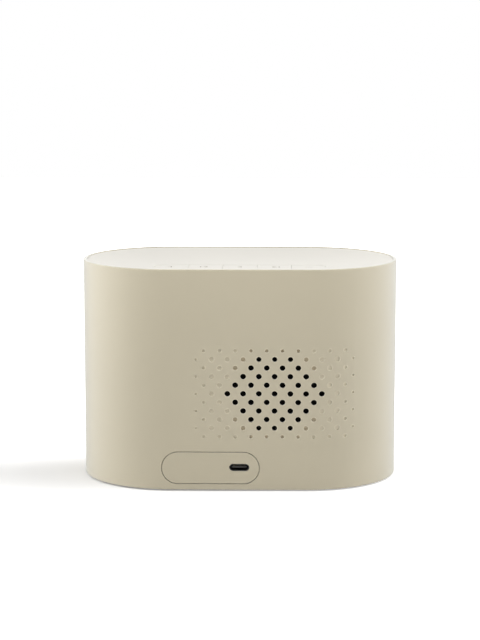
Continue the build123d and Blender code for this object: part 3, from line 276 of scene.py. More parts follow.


# %% [markdown]
# ### Moulded plastic
# The shell, covers, keys and dial are moulded in one warm sand family. The cover, keys and dial
# share a paler sand, which on the dished top is partly their own tone and partly painted light
# for the strong light that falls there. The mould was spark eroded, which leaves a very fine,
# even grain and a satin gloss. A large faint mottle keeps broad faces from looking like a flat
# fill. The grain also scatters white light back at a grazing view, so the rounded ends pale
# towards their edges, and sheen does that. The pale cover and the keys get only a trace of it,
# and less gleam. A painted texture could give the grain too, but nodes keep its true size on
# every piece.

# %% Moulded plastic
SAND = (0.570, 0.511, 0.374)
# Pale sand for the cover, keys and dial: partly their own tone, partly painted light for the brightly
# lit top.
PALE_SAND_AND_TOP_LIGHT = (0.775, 0.75, 0.69)
INNER_SAND = (0.33, 0.30, 0.235)
INNER_GREY = (0.045, 0.045, 0.048)
PLASTIC_IOR = 1.49
SHELL_ROUGHNESS = 0.5
COVER_ROUGHNESS = 0.42
GLOSS_SPREAD = 0.08
MOTTLE_SIZE = 28 * MM
MOTTLE_SPREAD = 0.03
GRAIN_SIZE = 0.22 * MM
COARSE_GRAIN = 0.4 * MM
GRAIN_DEPTH = 0.004 * MM
PLAIN_GLEAM = 0.5
COVER_GLEAM = 0.2
SOFT_SHEEN = 0.8
COVER_SHEEN = 0.05
SHEEN_ROUGHNESS = 0.5
SHEEN_TINT = (0.90, 0.95, 1.0)


def grain(finish, colour, roughness, size=GRAIN_SIZE):
    """The shared parts of a moulded finish: colour, roughness and normal."""
    cloud = finish.noise(MOTTLE_SIZE, detail=3.0)
    fine = finish.noise(size)
    tone = finish.shades(cloud, colour, MOTTLE_SPREAD)
    gloss = roughness + GLOSS_SPREAD * ((cloud + fine) / 2 - 0.5)
    return tone, gloss, finish.bump(fine, GRAIN_DEPTH)


def plastic_surface(finish, tone, gloss, normal, gleam=PLAIN_GLEAM, sheen=SOFT_SHEEN):
    """Ends a finish as moulded plastic, which pales at a grazing view."""
    finish.surface(
        Base_Color=tone,
        Roughness=gloss,
        Normal=normal,
        IOR=PLASTIC_IOR,
        Specular_IOR_Level=gleam,
        Sheen_Weight=sheen,
        Sheen_Roughness=SHEEN_ROUGHNESS,
        Sheen_Tint=SHEEN_TINT,
    )


def moulded(name, colour, roughness, size=GRAIN_SIZE, gleam=PLAIN_GLEAM, sheen=SOFT_SHEEN):
    """Spark eroded plastic in one colour."""
    finish = Finish(name)
    plastic_surface(finish, *grain(finish, colour, roughness, size), gleam, sheen)


# The cover's pale sand includes painted light for its brightly lit top.
moulded("cover_plastic", PALE_SAND_AND_TOP_LIGHT, COVER_ROUGHNESS, gleam=COVER_GLEAM, sheen=COVER_SHEEN)
moulded("base_plastic", INNER_SAND, roughness=0.55, size=COARSE_GRAIN)
moulded("cradle_plastic", INNER_GREY, roughness=0.5, size=COARSE_GRAIN)
moulded("plunger_plastic", (0.02, 0.02, 0.02), roughness=0.35)
moulded("tongue_plastic", (0.030, 0.028, 0.024), roughness=0.35)
moulded("baffle_plastic", (0.86, 0.86, 0.84), roughness=0.6)
moulded("connector_nylon", (0.74, 0.70, 0.60), roughness=0.4)

# %% [markdown]
# ### Painted highlights on the lips of the grille's holes, and painted shade in its pockets
# A mould leaves a hole with a tiny rounded lip that catches the light. The lip is not modelled:
# its highlight is painted, as a lighter ring of colour round each hole. The blind holes next to
# the open ones get painted shade inside, a browner tone for light that bounces between warm
# walls, and the shallow dimples farther out get the lip's painted highlight inside them. The holes
# and pockets themselves are in the CAD. The sizes below repeat its own, because a node's box
# doesn't tell them, but its open holes are a little smaller in the third and fourth rows. They
# stand on a staggered grid, so the colour finds the nearest one by rounding the two diagonal
# coordinates, which are whole numbers at every hole. Columns and rows are counted from the
# middle, and a span is a column plus a row.

# %% Places in the grille
GRILLE_X, GRILLE_Z = -16.3 * MM, 44.8 * MM
HOLE_PITCH, ROW_PITCH = 3.53 * MM, 3.92 * MM
OPEN_SPAN, OPEN_ROWS = 6, 4
BLIND_SPAN, DIMPLED_ROWS = 8, 2
FULL_COLUMNS, LAST_COLUMN, LAST_ROW = 8, 10, 5
OPEN_RADIUS, BLIND_RADIUS, LAST_ROW_RADIUS = 1.31 * MM, 1.05 * MM, 0.80 * MM
NINTH_COLUMN_RADIUS, TENTH_COLUMN_RADIUS = 0.75 * MM, 0.55 * MM


def up_to(value, last):
    """1 where a whole number is at most last, and 0 elsewhere."""
    return value.below(last + 0.5)


def beyond(value, last):
    """1 where a whole number is more than last, and 0 elsewhere."""
    return value.above(last + 0.5)


def place_radius(column, row, is_open):
    """The radius of the hole or pocket in this column and row."""
    radius = BLIND_RADIUS + (OPEN_RADIUS - BLIND_RADIUS) * is_open
    radius = radius - (BLIND_RADIUS - NINTH_COLUMN_RADIUS) * beyond(column, FULL_COLUMNS)
    radius = radius - (NINTH_COLUMN_RADIUS - TENTH_COLUMN_RADIUS) * beyond(column, LAST_COLUMN - 1)
    on_last_row = beyond(row, LAST_ROW - 1) * up_to(column, FULL_COLUMNS)
    return radius - (BLIND_RADIUS - LAST_ROW_RADIUS) * on_last_row


print("grille pitch", round(HOLE_PITCH / MM, 2), "by", round(ROW_PITCH / MM, 2), "mm")

# %% Shell finish
# The lighter tone is a painted highlight on the holes' lips and in the dimples; the browner one is
# painted shade in the blind holes.
LIP_WIDTH, LIP_BLUR = 0.30 * MM, 0.08 * MM
LIP_HIGHLIGHT_SAND = (0.68, 0.615, 0.47)
POCKET_SHADE_SAND = (0.54, 0.46, 0.32)


def shell_finish():
    finish = Finish("shell_plastic")
    tone, gloss, normal = grain(finish, SAND, SHELL_ROUGHNESS)
    across = (finish.axis("X") - GRILLE_X) / HOLE_PITCH
    up = (finish.axis("Z") - GRILLE_Z) / ROW_PITCH
    rising = ((across + up) / 2).nearest_whole()
    falling = ((across - up) / 2).nearest_whole()
    column, row = abs(rising + falling), abs(rising - falling)
    off_x = (across - rising - falling) * HOLE_PITCH
    off_z = (up - rising + falling) * ROW_PITCH
    away = (off_x**2 + off_z**2) ** 0.5
    is_open = up_to(column + row, OPEN_SPAN) * up_to(row, OPEN_ROWS)
    is_blind = up_to(column + row, BLIND_SPAN) * beyond(row, DIMPLED_ROWS) * (1 - is_open)
    on_rear = finish.axis("Y").above(0)
    in_grille = up_to(column, LAST_COLUMN) * up_to(row, LAST_ROW) * on_rear
    radius = place_radius(column, row, is_open)
    lip_edge = radius + LIP_WIDTH
    inside = 1 - finish.step(away, radius - LIP_BLUR, radius + LIP_BLUR)
    highlight_reach = 1 - finish.step(away, lip_edge - LIP_BLUR, lip_edge + LIP_BLUR)
    # Painted shade in the blind holes and a painted highlight in the dimples, then a painted highlight
    # ring round every lip.
    pocket_shade_and_highlight = finish.mix(is_blind, LIP_HIGHLIGHT_SAND, POCKET_SHADE_SAND)
    tone = finish.mix(in_grille * inside * (1 - is_open), tone, pocket_shade_and_highlight)
    tone = finish.mix(in_grille * (highlight_reach - inside), tone, LIP_HIGHLIGHT_SAND)
    plastic_surface(finish, tone, gloss, normal)


shell_finish()

# %% [markdown]
# ### Key tops with engraved marks
# Each key carries a shallow engraved mark: minus, back, play, forward and plus. The paint in an
# engraving lies below the key's top face, so a mask on height finds it, and a second mask keeps
# it off the key's two ends. The front and back of a key take paint too, but the slot hides them.
# The five keys repeat at one pitch, so the X coordinate is wrapped at that pitch, and one finish
# serves them all.

# %% Key finish
MARK_REACH = 5.0 * MM
PAINT_FROM, PAINT_FULL = 0.05 * MM, 0.09 * MM
MARK_PAINT = (0.36, 0.33, 0.265)
MARK_MATT = 0.15

play_low, play_high = (Vector(corner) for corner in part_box("play_key"))
next_low = Vector(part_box("next_key")[0])
key_pitch = next_low.x - play_low.x
key_top = play_high.z


def key_finish():
    finish = Finish("key_plastic")
    # Pale sand, partly painted light for the lit top.
    tone, gloss, normal = grain(finish, PALE_SAND_AND_TOP_LIGHT, COVER_ROUGHNESS)
    across = (finish.axis("X") + key_pitch / 2).remainder(key_pitch) - key_pitch / 2
    near_middle = abs(across).below(MARK_REACH)
    sunk = 1 - finish.step(finish.axis("Z"), key_top - PAINT_FULL, key_top - PAINT_FROM)
    paint = near_middle * sunk
    tone = finish.mix(paint, tone, MARK_PAINT)
    plastic_surface(finish, tone, gloss + MARK_MATT * paint, normal, COVER_GLEAM, COVER_SHEEN)


key_finish()
print("key pitch", round(key_pitch / MM, 2), "mm")

# %% [markdown]
# ### The dial's face
# The dial's cap is moulded, then its face is turned, so fine rings run round its axis. Its
# pointer is a round recess with a spot of paint. Rings come from a wave on the distance from the
# axis; the recess is found by a distance from its own axis, and by its depth under the face.

# %% Dial finish
FACE_ROUGHNESS = 0.38
FACE_DEPTH = 1.0 * MM
RING_PITCH = 0.32 * MM
RING_DEPTH = 0.006 * MM
RING_MATT = 0.05
POINTER_FROM_RIM = 3.6 * MM
POINTER_RADIUS = 1.2 * MM
POINTER_PAINT_DEPTH = 0.75 * MM
POINTER_PAINT = (0.80, 0.36, 0.10)
ROUND_DIAL_AXIS = (1, 0, 1)

cap_low, cap_high = (Vector(corner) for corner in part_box("dial_cap"))
dial_axis = (cap_low + cap_high) / 2
dial_radius = (cap_high.x - cap_low.x) / 2


def dial_finish():
    finish = Finish("dial_plastic")
    # The dial shares the cover's pale sand, painted light included.
    tone, gloss, normal = grain(finish, PALE_SAND_AND_TOP_LIGHT, FACE_ROUGHNESS)
    on_face = finish.axis("Y").below(cap_low.y + FACE_DEPTH)
    rings = finish.ripple(finish.distance_from(dial_axis, ROUND_DIAL_AXIS), RING_PITCH) * on_face
    pointer = dial_axis + Vector((0, 0, dial_radius - POINTER_FROM_RIM))
    near_pointer = finish.distance_from(pointer, ROUND_DIAL_AXIS).below(POINTER_RADIUS)
    sunk = finish.axis("Y").above(cap_low.y + POINTER_PAINT_DEPTH)
    tone = finish.mix(near_pointer * sunk, tone, POINTER_PAINT)
    turned = finish.bump(rings, RING_DEPTH, under=normal)
    plastic_surface(finish, tone, gloss + RING_MATT * rings, turned)


dial_finish()
print("dial axis at Z", round(dial_axis.z / MM, 2), "mm, radius", round(dial_radius / MM, 2), "mm")

# %% [markdown]
# ### Rubber and foam
# Silicone rubber is matt, with a faint bloom of lighter dust in patches. The gasket is closed
# cell foam: scattered cells with thin walls between them, which Voronoi noise gives. The walls
# are lighter: a painted highlight on the cell rims, against cells left in the foam's own dark.

# %% Rubber and foam
GREY_BLOOM = (0.35, 0.34, 0.32)
BLOOM_SIZE, BLOOM_SHARE, BLOOM_MATT = 6 * MM, 0.12, 0.12
RUBBER_GRAIN, RUBBER_BUMP = 0.35 * MM, 0.01 * MM
FOAM_CELL, FOAM_BUMP = 0.5 * MM, 0.05 * MM
FOAM_WALL, WALL_HIGHLIGHT, WALL_SMOOTHER = 0.22, 2.2, 0.1


def rubber(name, colour, roughness, bloom=GREY_BLOOM):
    finish = Finish(name)
    patches = finish.step(finish.noise(BLOOM_SIZE, detail=4.0), low=0.45, high=0.75)
    fine = finish.noise(RUBBER_GRAIN, detail=3.0)
    tone = finish.shades(fine, colour, spread=0.10)
    finish.surface(
        Base_Color=finish.mix(patches * BLOOM_SHARE, tone, bloom),
        Roughness=roughness + BLOOM_MATT * patches,
        Normal=finish.bump(fine, RUBBER_BUMP),
        IOR=1.42,
        Specular_IOR_Level=0.35,
    )


def foam(name, colour):
    finish = Finish(name)
    walls = 1 - finish.step(finish.cells(FOAM_CELL, "DISTANCE_TO_EDGE"), low=0.0, high=FOAM_WALL)
    finish.surface(
        # Painted highlight on the cell walls; the cells keep the darker foam colour.
        Base_Color=finish.mix(walls, colour, tuple(part * WALL_HIGHLIGHT for part in colour)),
        Roughness=0.95 - WALL_SMOOTHER * walls,
        Normal=finish.bump(walls, FOAM_BUMP),
        Specular_IOR_Level=0.2,
    )


rubber("pad_rubber", (0.055, 0.054, 0.052), roughness=0.75)
rubber("dial_rubber", (0.30, 0.275, 0.22), roughness=0.7, bloom=(0.55, 0.52, 0.45))
rubber("surround_rubber", (0.018, 0.018, 0.018), roughness=0.55)
rubber("lead_silicone", (0.42, 0.02, 0.015), roughness=0.45, bloom=(0.6, 0.2, 0.18))
foam("gasket_foam", (0.022, 0.022, 0.022))

# %% [markdown]
# ### The night light's disc
# The ring round the dial is milky plastic that spreads the light of eight lamps behind it. Light
# enters it, scatters and leaves again, so it gets a little subsurface scattering, and it looks
# deeper and cleaner than the shell beside it.

# %% Glow disc finish
MILK = (0.86, 0.835, 0.765)
MILK_CLOUD = 9 * MM
MILK_GRAIN, MILK_BUMP = 0.3 * MM, 0.003 * MM
MILK_MATT = 0.12
MILK_SCATTER = (1.0, 0.85, 0.65)


def milky(name):
    finish = Finish(name)
    fine = finish.noise(MILK_GRAIN)
    finish.surface(
        Base_Color=finish.shades(finish.noise(MILK_CLOUD, detail=4.0), MILK, spread=0.03),
        Roughness=0.30 + MILK_MATT * fine,
        Normal=finish.bump(fine, MILK_BUMP),
        IOR=1.55,
        Subsurface_Weight=0.35,
        Subsurface_Radius=MILK_SCATTER,
        Subsurface_Scale=2.0 * MM,
    )


milky("glow_diffuser")

# %% [markdown]
# ### Metals
# Plated screws, pressed steel and turned shafts are all metal, but they were worked differently.
# Rolled sheet has straight streaks, so its noise is stretched along one axis. A turned part has
# rings round its axis, so its noise is squeezed along it, and a cast one is cloudy all over.

# %% Metals
WEAR_SIZE, WEAR_SPREAD, WEAR_MATT = 4 * MM, 0.09, 0.08
STREAK_SIZE, STREAK_BUMP, STREAK_MATT = 0.5 * MM, 0.006 * MM, 0.14
PEEL_SIZE, PEEL_BUMP, PEEL_GLOSS = 0.9 * MM, 0.02 * MM, 0.1
SPECK_SIZE = 1.8 * MM
BARE_STEEL = (0.35, 0.34, 0.33)


def plated(name, colour, roughness, streaks=(1, 1, 1), streak_size=STREAK_SIZE):
    """Bare or plated metal; streaks below 1 draw the marks out along that axis."""
    finish = Finish(name)
    worn = finish.noise(WEAR_SIZE, detail=5.0)
    lines = finish.noise(streak_size, detail=3.0, stretch=streaks)
    finish.surface(
        Base_Color=finish.shades(worn, colour, WEAR_SPREAD),
        Metallic=1.0,
        Roughness=roughness + STREAK_MATT * lines + WEAR_MATT * worn,
        Normal=finish.bump(lines, STREAK_BUMP),
    )


def coated(name, colour, roughness):
    """Enamel over pressed steel: a soft orange peel, and bare specks where it is thin."""
    finish = Finish(name)
    peel = finish.noise(PEEL_SIZE)
    specks = finish.step(finish.noise(SPECK_SIZE, detail=5.0), low=0.70, high=0.74)
    finish.surface(
        Base_Color=finish.mix(specks, finish.shades(peel, colour, spread=0.15), BARE_STEEL),
        Metallic=specks,
        Roughness=roughness - PEEL_GLOSS * peel,
        Normal=finish.bump(peel, PEEL_BUMP),
    )


plated("screw_steel", (0.56, 0.57, 0.58), roughness=0.26)
plated("switch_steel", (0.62, 0.62, 0.61), roughness=0.24, streaks=(0.1, 1, 1))
plated("usb_steel", (0.09, 0.09, 0.09), roughness=0.35, streaks=(1, 0.1, 1))
plated("shaft_alloy", (0.66, 0.66, 0.67), roughness=0.22, streaks=(1, 8, 1))
plated("encoder_zinc", (0.50, 0.50, 0.51), roughness=0.38)
plated("magnet_steel", (0.45, 0.46, 0.47), roughness=0.32, streaks=(0.15, 1, 0.15))
plated("capacitor_can", (0.78, 0.78, 0.79), roughness=0.22, streaks=(1, 1, 0.08))
coated("basket_steel", (0.020, 0.020, 0.021), roughness=0.45)

# %% [markdown]
# ### Boards, chips and lamps
# A circuit board is glass cloth under green solder mask, with copper tracks that show through as
# lighter, slightly raised lines. The walls of a Voronoi diagram stand for the tracks, which keeps
# them thin and joined up, though real ones run straighter. Chips are matt epoxy full of glass
# dust, and a lamp is clear resin over a yellow spot of phosphor.

# %% Boards, chips and lamps
MASK_GREEN, TRACK_GREEN, PAD_TIN = (0.008, 0.085, 0.040), (0.018, 0.17, 0.075), (0.62, 0.60, 0.55)
TRACK_SPACING, PAD_SPACING, WEAVE_PITCH = 3.4 * MM, 2.1 * MM, 0.6 * MM
TRACK_BUMP, WEAVE_MATT = 0.03 * MM, 0.1
EPOXY_BLACK, GLASS_DUST = (0.016, 0.016, 0.017), (0.075, 0.075, 0.08)
DUST_SIZE, DUST_BUMP, GLINT_GLOSS = 0.12 * MM, 0.008 * MM, 0.2
CLEAR_RESIN, PHOSPHOR, RESIN_SCATTER = (0.86, 0.85, 0.80), (0.88, 0.70, 0.22), (1.0, 0.9, 0.5)
LAMP_SPACING, HAZE_SIZE, HAZE_BUMP, HAZE_MATT = 1.5 * MM, 0.5 * MM, 0.01 * MM, 0.1


def solder_mask(name):
    finish = Finish(name)
    walls = finish.cells(TRACK_SPACING, "DISTANCE_TO_EDGE")
    tracks = 1 - finish.step(walls, low=0.03, high=0.06)
    pads = 1 - finish.step(finish.cells(PAD_SPACING), low=0.10, high=0.13)
    weave = finish.ripple(finish.axis("X"), WEAVE_PITCH) * finish.ripple(finish.axis("Y"), WEAVE_PITCH)
    mask = finish.mix(tracks, finish.shades(weave, MASK_GREEN, spread=0.12), TRACK_GREEN)
    finish.surface(
        Base_Color=finish.mix(pads, mask, PAD_TIN),
        Metallic=pads,
        Roughness=0.30 + WEAVE_MATT * weave,
        Normal=finish.bump(tracks + pads, TRACK_BUMP),
        IOR=1.5,
    )


def epoxy(name):
    finish = Finish(name)
    dust = finish.noise(DUST_SIZE)
    glints = finish.step(dust, low=0.66, high=0.72)
    finish.surface(
        Base_Color=finish.mix(glints, EPOXY_BLACK, GLASS_DUST),
        Roughness=0.62 - GLINT_GLOSS * glints,
        Normal=finish.bump(dust, DUST_BUMP),
    )


def resin(name):
    finish = Finish(name)
    spot = 1 - finish.step(finish.cells(LAMP_SPACING), low=0.15, high=0.35)
    haze = finish.noise(HAZE_SIZE)
    finish.surface(
        Base_Color=finish.mix(spot, CLEAR_RESIN, PHOSPHOR),
        Roughness=0.12 + HAZE_MATT * haze,
        Normal=finish.bump(haze, HAZE_BUMP),
        Subsurface_Weight=0.3,
        Subsurface_Radius=RESIN_SCATTER,
        Subsurface_Scale=0.5 * MM,
    )


solder_mask("circuit_board")
epoxy("chip_epoxy")
resin("led_resin")

# %% [markdown]
# ### The battery and its flat cables
# The cell wears a shrink sleeve: smooth, glossy film that pulls faint hoops round the can. The
# straps are woven nylon tape, and a flat cable is white film with a dark line over each
# conductor, at half a millimetre.

# %% Battery, straps and cables
HOOP_SIZE, HOOP_BUMP, HOOP_STRETCH = 2.2 * MM, 0.03 * MM, (1, 0.2, 0.2)
SCUFF_SIZE, SCUFF_SHARE, SCUFF_MATT = 1.2 * MM, 0.25, 0.25
SCUFF_STRETCH, SCUFF_BLUE = (0.25, 1, 1), (0.5, 0.55, 0.6)
THREAD_PITCH, THREAD_BUMP, THREAD_GLOSS, THREAD_SHADE = 0.7 * MM, 0.08 * MM, 0.1, 0.5
CONDUCTOR_PITCH, CONDUCTOR_BUMP = 0.5 * MM, 0.02 * MM
FILM_WHITE, CONDUCTOR_GREY = (0.72, 0.72, 0.70), (0.46, 0.45, 0.44)
FILM_HAZE, FILM_MATT = 1.5 * MM, 0.1


def sleeve(name, colour):
    finish = Finish(name)
    hoops = finish.noise(HOOP_SIZE, detail=3.0, stretch=HOOP_STRETCH)
    scuffs = finish.noise(SCUFF_SIZE, detail=6.0, stretch=SCUFF_STRETCH)
    scuffs = finish.step(scuffs, low=0.60, high=0.72)
    tone = finish.shades(hoops, colour, spread=0.06)
    finish.surface(
        Base_Color=finish.mix(scuffs * SCUFF_SHARE, tone, SCUFF_BLUE),
        Roughness=0.22 + SCUFF_MATT * scuffs,
        Normal=finish.bump(hoops, HOOP_BUMP),
        Coat_Weight=0.3,
        Coat_Roughness=0.1,
    )


def tape(name, colour):
    finish = Finish(name)
    warp = finish.ripple(finish.axis("X"), THREAD_PITCH)
    weft = finish.ripple(finish.axis("Y") + finish.axis("Z"), THREAD_PITCH)
    threads = warp * weft + (1 - warp) * (1 - weft)
    finish.surface(
        Base_Color=finish.mix(threads, tuple(part * THREAD_SHADE for part in colour), colour),
        Roughness=0.8 - THREAD_GLOSS * threads,
        Normal=finish.bump(threads, THREAD_BUMP),
        Sheen_Weight=0.3,
    )


def flat_cable(name):
    finish = Finish(name)
    lines = finish.step(finish.ripple(finish.axis("X"), CONDUCTOR_PITCH), low=0.55, high=0.8)
    finish.surface(
        Base_Color=finish.mix(lines, FILM_WHITE, CONDUCTOR_GREY),
        Roughness=0.28 + FILM_MATT * finish.noise(FILM_HAZE),
        Normal=finish.bump(lines, CONDUCTOR_BUMP),
        IOR=1.6,
    )


sleeve("cell_wrap", (0.012, 0.085, 0.26))
tape("strap_nylon", (0.035, 0.035, 0.038))
flat_cable("ribbon_film")

# %% [markdown]
# ### The loudspeaker
# The cone is felted paper: short fibres that lie every way. The spider is cloth dipped in resin,
# the magnet is a sintered ring with a dry, stony skin, and the coil is copper wire wound close,
# so its bump is a wave along the coil's axis at the pitch of the wire. Its colour follows the same
# wave, darker between the turns as painted shade and lighter on them as painted highlight.

# %% Loudspeaker
FIBRE_SIZE, FIBRE_BUMP, CLUMP_SIZE, CLUMP_MATT = 0.5 * MM, 0.03 * MM, 3.5 * MM, 0.08
FIBRE_SHARE = 0.6
FIBRE_WAYS = ((1, 0.3, 1), (0.3, 1, 1))
CLOTH_PITCH, CLOTH_BUMP, CLOTH_MATT, CLOTH_SHADE = 0.45 * MM, 0.05 * MM, 0.2, 0.55
FERRITE_GRAIN, FERRITE_CHIP, FERRITE_BUMP, FERRITE_MATT = 0.4 * MM, 3.0 * MM, 0.03 * MM, 0.2
CHIP_SHARE = 0.7
WIRE_PITCH, WIRE_BUMP, WIRE_WEAR, WIRE_MATT = 0.16 * MM, 0.03 * MM, 1.0 * MM, 0.1


def felted(name, colour):
    finish = Finish(name)
    one_way, other_way = (finish.noise(FIBRE_SIZE, detail=6.0, stretch=way) for way in FIBRE_WAYS)
    fibres = (one_way + other_way) / 2
    clumps = finish.noise(CLUMP_SIZE, detail=3.0)
    mixed = fibres * FIBRE_SHARE + clumps * (1 - FIBRE_SHARE)
    finish.surface(
        Base_Color=finish.shades(mixed, colour, spread=0.35),
        Roughness=0.86 + CLUMP_MATT * clumps,
        Normal=finish.bump(fibres, FIBRE_BUMP),
        Specular_IOR_Level=0.25,
    )


def dipped_cloth(name, colour):
    finish = Finish(name)
    threads = finish.ripple(finish.axis("X"), CLOTH_PITCH) * finish.ripple(finish.axis("Z"), CLOTH_PITCH)
    finish.surface(
        Base_Color=finish.mix(threads, tuple(part * CLOTH_SHADE for part in colour), colour),
        Roughness=0.6 + CLOTH_MATT * threads,
        Normal=finish.bump(threads, CLOTH_BUMP),
    )


def sintered(name, colour):
    finish = Finish(name)
    grains = finish.noise(FERRITE_GRAIN, detail=4.0)
    chips = finish.step(finish.cells(FERRITE_CHIP), low=0.0, high=0.16)
    stony = grains * (1 - CHIP_SHARE) + chips * CHIP_SHARE
    finish.surface(
        Base_Color=finish.shades(grains, colour, spread=0.2),
        Roughness=0.55 + FERRITE_MATT * grains,
        Normal=finish.bump(stony, FERRITE_BUMP),
        Specular_IOR_Level=0.6,
    )


def winding(name, colour):
    finish = Finish(name)
    turns = finish.ripple(finish.axis("Y"), WIRE_PITCH)
    finish.surface(
        # Painted shade between the turns of wire, painted highlight on them.
        Base_Color=finish.shades(turns, colour, spread=0.3),
        Metallic=1.0,
        Roughness=0.25 + WIRE_MATT * finish.noise(WIRE_WEAR),
        Normal=finish.bump(turns, WIRE_BUMP),
        Coat_Weight=0.4,
        Coat_Roughness=0.15,
    )


felted("cone_paper", (0.016, 0.016, 0.017))
dipped_cloth("spider_cloth", (0.50, 0.33, 0.12))
sintered("magnet_ferrite", (0.055, 0.056, 0.060))
winding("coil_copper", (0.72, 0.33, 0.16))

# %% Give every node its finish
slot_of = {row["node"]: row["material_slot"] for row in frame["record"]["subparts"]}
for name, thing in nodes.items():
    thing.data.materials.clear()
    thing.data.materials.append(finishes[slot_of[name]])
print("finishes", len(finishes), "for", len(slot_of), "nodes")

# %% [markdown]
# ## Geometry Nodes
# Ribs, printed dots, contacts and nubs repeat by a rule. A `Recipe` is a Geometry Nodes tree
# with named inputs for its sizes. `grow` puts it on an empty object, sets the inputs, takes the
# result as a plain mesh, and clears the modifier, so that the piece can be posed and exported
# like any other.

# %% Recipes
class Recipe(Tree):
    """A Geometry Nodes tree with named inputs."""

    def __init__(self, name, sizes):
        super().__init__(bpy.data.node_groups.new(name, "GeometryNodeTree"))
        self.sizes = sizes
        sides = self.tree.interface
        for title, size in sizes.items():
            kind = "NodeSocketInt" if isinstance(size, int) else "NodeSocketFloat"
            sides.new_socket(title, in_out="INPUT", socket_type=kind)
        sides.new_socket("Geometry", in_out="OUTPUT", socket_type="NodeSocketGeometry")
        entry = self.tree.nodes.new("NodeGroupInput")
        self.inputs = {title: Value(self, entry.outputs[title]) for title in sizes}

    def __getitem__(self, title):
        return self.inputs[title]

    def spot(self, axis):
        """The X, Y or Z of the point that the formula is for."""
        return self.split(self.add("GeometryNodeInputPosition"), axis)

    def moved_to(self, geometry, x, y, z):
        """The geometry with its points moved to these places."""
        sockets = {"Geometry": geometry, "Position": self.join(x, y, z)}
        return self.add("GeometryNodeSetPosition", sockets=sockets)

    def copies(self, points, shape, turn=(0, 0, 0), scale=(1, 1, 1)):
        """One copy of the shape at each point."""
        sockets = {"Points": points, "Instance": shape, "Rotation": turn, "Scale": scale}
        return self.add("GeometryNodeInstanceOnPoints", sockets=sockets)

    def end(self, geometry, material):
        """Makes copies real, gives them the material and ends the tree."""
        real = self.add("GeometryNodeRealizeInstances", sockets={"Geometry": geometry})
        done = self.add("GeometryNodeSetMaterial", sockets={"Geometry": real, "Material": material})
        self.add("NodeGroupOutput", sockets={0: done})


def grow(name, recipe, body):
    """Runs a recipe once and returns its result as a plain mesh object on a body."""
    piece = bpy.data.objects.new(name, bpy.data.meshes.new(name))
    bpy.context.scene.collection.objects.link(piece)
    modifier = piece.modifiers.new("recipe", "NODES")
    modifier.node_group = recipe.tree
    for item in recipe.tree.interface.items_tree:
        if item.in_out == "INPUT":
            modifier[item.identifier] = recipe.sizes[item.name]
    evaluated = piece.evaluated_get(bpy.context.evaluated_depsgraph_get())
    mesh = bpy.data.meshes.new_from_object(evaluated)
    piece.modifiers.clear()
    piece.data = mesh
    turn_outwards(mesh)
    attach(piece, body)
    corners = [vertex.co for vertex in mesh.vertices]
    low = [round(min(corner[axis] for corner in corners) / MM, 2) for axis in range(3)]
    high = [round(max(corner[axis] for corner in corners) / MM, 2) for axis in range(3)]
    print(name, "faces", len(mesh.polygons), "from", low, "to", high)
    return piece


def turn_outwards(mesh):
    """Makes every face of closed shells point outwards."""
    work = bmesh.new()
    work.from_mesh(mesh)
    bmesh.ops.recalc_face_normals(work, faces=work.faces)
    work.to_mesh(mesh)
    work.free()


# %% [markdown]
# ### The dial's ribbed grip
# A rubber ring is pressed on the dial's rim. Its ribs run along the dial's axis, and they fade
# out before the ring's two rounded ends. The ring is a rounded rectangle swept round a circle.
# Its outer points then move in by a wave on their angle, which keeps the ribs equal and joins
# the last one to the first, where a modelled rib and an array would need a hand-made seam.

# %% Ribbed grip
GRIP_RIBS = 60
STEPS_PER_RIB = 10
RIB_DEPTH = 0.55 * MM
RIB_FADE = 1.1 * MM
RIB_SHARPNESS = 1.6
GRIP_GAP = 0.03 * MM
GRIP_ROUND = 0.4 * MM
ROUND_STEPS = 4
SIDE_CUTS = 7
RIBBED_SHARE = 0.4

grip_low, grip_high = (Vector(corner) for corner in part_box("dial_grip"))


def grip_recipe():
    recipe = Recipe(
        "ribbed_grip",
        {
            "Ribs": GRIP_RIBS,
            "Inner Radius": dial_radius + GRIP_GAP,
            "Outer Radius": (grip_high.x - grip_low.x) / 2,
            "Front": grip_low.y,
            "Back": grip_high.y,
            "Axis Height": dial_axis.z,
            "Rib Depth": RIB_DEPTH,
        },
    )
    width = recipe["Outer Radius"] - recipe["Inner Radius"]
    length = recipe["Back"] - recipe["Front"]
    circle = recipe.add(
        "GeometryNodeCurvePrimitiveCircle",
        sockets={
            "Resolution": recipe["Ribs"] * STEPS_PER_RIB,
            "Radius": recipe["Outer Radius"] - width / 2,
        },
    )
    circle = recipe.add("GeometryNodeSetCurveNormal", {"mode": "Z_UP"}, {"Curve": circle})
    section = recipe.add(
        "GeometryNodeCurvePrimitiveQuadrilateral", sockets={"Width": width, "Height": length}
    )
    sockets = {"Curve": section, "Cuts": SIDE_CUTS}
    section = recipe.add("GeometryNodeSubdivideCurve", sockets=sockets)
    sockets = {"Curve": section, "Count": ROUND_STEPS, "Radius": GRIP_ROUND}
    section = recipe.add("GeometryNodeFilletCurve", {"mode": "POLY"}, sockets)
    ring = recipe.add("GeometryNodeCurveToMesh", sockets={"Curve": circle, "Profile Curve": section})
    x, y, z = (recipe.spot(axis) for axis in "XYZ")
    radius = (x * x + y * y) ** 0.5
    angle = y.math("ARCTAN2", y, x)
    fade = recipe.step(length / 2 - abs(z), GRIP_ROUND, RIB_FADE)
    outer = (radius - recipe["Outer Radius"] + width * RIBBED_SHARE).above(0)
    groove = (0.5 - (angle * recipe["Ribs"]).cosine() * 0.5) ** RIB_SHARPNESS
    inwards = 1 - groove * fade * outer * recipe["Rib Depth"] / radius
    middle = (recipe["Front"] + recipe["Back"]) / 2
    ring = recipe.moved_to(ring, x * inwards, middle - z, recipe["Axis Height"] + y * inwards)
    recipe.end(ring, finishes["dial_rubber"])
    return recipe


